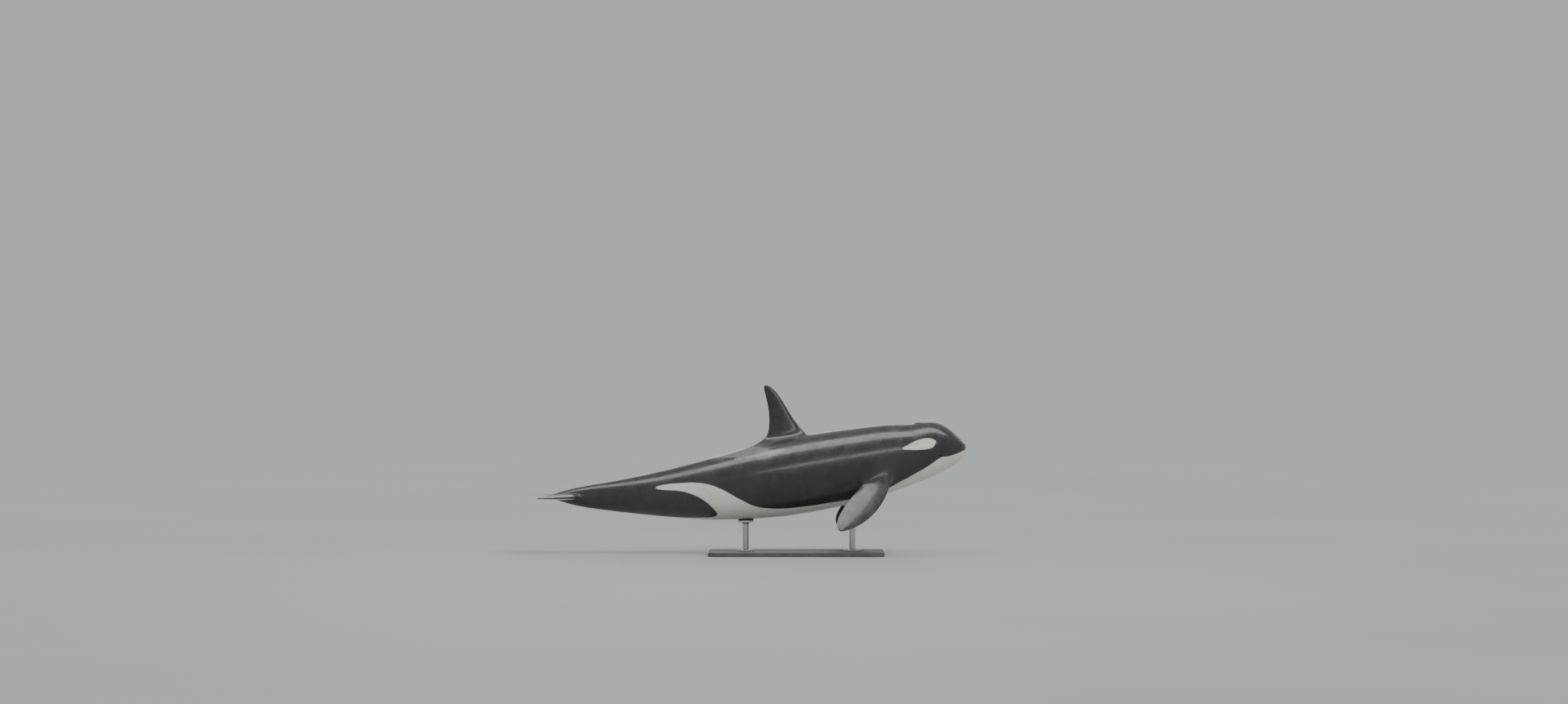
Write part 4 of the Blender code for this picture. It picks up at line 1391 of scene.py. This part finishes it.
class OrcaSkinSettings(bpy.types.PropertyGroup):
    """Sizes and colours of the skin"""

    black: colour_setting("Black", "Colour of the black skin", (0.024, 0.023, 0.025))
    black_brown: colour_setting("Brownish black", "Colour it drifts to", (0.038, 0.034, 0.034))
    white: colour_setting("White", "Colour of the white skin", (0.74, 0.72, 0.67))
    cream: colour_setting("Cream", "Colour the white drifts to", (0.68, 0.63, 0.53))
    grey: colour_setting("Grey", "Colour of the saddle", (0.30, 0.295, 0.30))
    wet_roughness: bpy.props.FloatProperty(
        name="Wet roughness", description="Roughness of the wet skin", default=0.20, min=0.0, max=1.0
    )
    lip_height: length_setting("Lip height", "How far the lips swell", 0.0042)
    mouth_depth: length_setting("Mouth depth", "Depth of the crease between the lips", 0.013)
    blowhole_depth: length_setting("Blowhole depth", "Depth of the blowhole's slit", 0.017)
    lid_height: length_setting("Lid height", "How far the lids stand over the skin", 0.0048)
    eye_opening: length_setting("Eye opening", "Half the length of the opening of the lids", 0.0185)


class OrcaEyeSettings(bpy.types.PropertyGroup):
    """Colours of the eyes"""

    iris: colour_setting("Iris", "Colour of the iris", (0.042, 0.022, 0.012))


class OrcaStandSettings(bpy.types.PropertyGroup):
    """Finishes of the stand"""

    paint: colour_setting("Paint", "Colour of the base", (0.070, 0.073, 0.078))
    paint_light: colour_setting("Faded paint", "Colour of its faded places", (0.095, 0.098, 0.102))
    steel: colour_setting("Steel", "Colour of the rods", (0.50, 0.50, 0.51))


class OrcaStageSettings(bpy.types.PropertyGroup):
    """Floor, room and light of the studio"""

    floor: colour_setting("Floor", "Colour of the floor", (0.60, 0.60, 0.60))
    room: colour_setting("Room", "Colour of the room's even light", (0.94, 0.97, 1.0))
    room_strength: bpy.props.FloatProperty(
        name="Room strength", description="Strength of the room's even light", default=0.55, min=0.0
    )
    horizon: colour_setting("Horizon", "Tone behind the floor's end", (0.488, 0.496, 0.501))
    key_strength: bpy.props.FloatProperty(
        name="Key strength", description="Strength of the main soft light", default=1.3, min=0.0
    )
    softbox_power: bpy.props.FloatProperty(
        name="Softbox power",
        description="Power of the lights that shine in the skin",
        default=600.0,
        min=0.0,
    )


class ORCA_OT_skin(bpy.types.Operator):
    """Build the orca's skin with its markings, in place of the flesh nodes"""

    bl_idname = "orca.skin"
    bl_label = "Skin"

    def execute(self, context):
        style = context.scene.orca_skin
        item = draw_cage()
        surface = smooth_surface(item, 4)
        eyes = [Eye(side) for side in (1, -1)]
        apply_subdivision(item, 1)
        refine(item, eyes, surface)
        apply_subdivision(item, 1)
        white, saddle = markings(points_of(item))
        set_field(item, "white", white)
        set_field(item, "saddle", saddle)
        carve(item, eyes, style)
        finish_piece(item, skin_look(style), FLESH)
        return {"FINISHED"}


class ORCA_OT_eyes(bpy.types.Operator):
    """Build the two eyes, in place of the plain ones"""

    bl_idname = "orca.eyes"
    bl_label = "Eyes"

    def execute(self, context):
        look = eye_look(context.scene.orca_eye)
        for side in (1, -1):
            make_eye(Eye(side), look)
        return {"FINISHED"}


class ORCA_OT_stand(bpy.types.Operator):
    """Finish the display stand: base, rods, flanges, screws and pads"""

    bl_idname = "orca.stand"
    bl_label = "Stand"

    def execute(self, context):
        style = context.scene.orca_stand
        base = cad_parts["stand_base"]
        base.data.materials.clear()
        base.data.materials.append(paint_look(style))
        looks = steel_look(style, True), steel_look(style, False), rubber_look()
        tree = tree_of(bpy.data.objects["orca_skin"])
        for label in ("front", "rear"):
            make_support(label, tree, looks)
        return {"FINISHED"}


class ORCA_OT_stage(bpy.types.Operator):
    """Set up the floor, room, lights and camera"""

    bl_idname = "orca.stage"
    bl_label = "Stage"

    def execute(self, context):
        style = context.scene.orca_stage
        add_floor(floor_look(style))
        add_world(style)
        power = style.softbox_power
        add_sun("key", (5.0, -8.0, 9.0), style.key_strength, 30.0, (1.0, 0.98, 0.95))
        add_sun("fill", (-9.0, -6.0, 5.0), style.key_strength * 0.3, 50.0, (0.95, 0.98, 1.0))
        add_softbox("overhead", (0.0, -1.0, 8.0), (0.0, 0.0, 1.5), (14.0, 3.2), power)
        add_softbox("side", (2.0, -11.0, 6.5), (0.3, 0.0, 1.4), (13.0, 2.0), power * 0.45)
        add_softbox("back", (-2.0, 10.0, 6.0), (0.0, 0.0, 1.6), (12.0, 2.0), power * 0.22)
        add_camera()
        return {"FINISHED"}


class ORCA_PT_panel(bpy.types.Panel):
    """Shows the build steps and their settings"""

    bl_idname = "ORCA_PT_panel"
    bl_label = "Orca"
    bl_space_type = "VIEW_3D"
    bl_region_type = "UI"
    bl_category = "Orca"

    def draw(self, context):
        column = self.layout.column()
        for operator in (ORCA_OT_skin, ORCA_OT_eyes, ORCA_OT_stand, ORCA_OT_stage):
            column.operator(operator.bl_idname)
        for name in SETTINGS:
            group = getattr(context.scene, name)
            for key in group.bl_rna.properties.keys():
                if key not in ("rna_type", "name"):
                    column.prop(group, key)


SETTINGS = {
    "orca_skin": OrcaSkinSettings,
    "orca_eye": OrcaEyeSettings,
    "orca_stand": OrcaStandSettings,
    "orca_stage": OrcaStageSettings,
}
CLASSES = (
    *SETTINGS.values(),
    ORCA_OT_skin,
    ORCA_OT_eyes,
    ORCA_OT_stand,
    ORCA_OT_stage,
    ORCA_PT_panel,
)


def register():
    for made in CLASSES:
        bpy.utils.register_class(made)
    for name, group in SETTINGS.items():
        setattr(bpy.types.Scene, name, bpy.props.PointerProperty(type=group))


def unregister():
    for name in SETTINGS:
        delattr(bpy.types.Scene, name)
    for made in reversed(CLASSES):
        bpy.utils.unregister_class(made)


def main():
    register()
    bpy.ops.orca.skin()
    bpy.ops.orca.eyes()
    bpy.ops.orca.stand()
    bpy.ops.orca.stage()


if __name__ == "__main__":
    main()
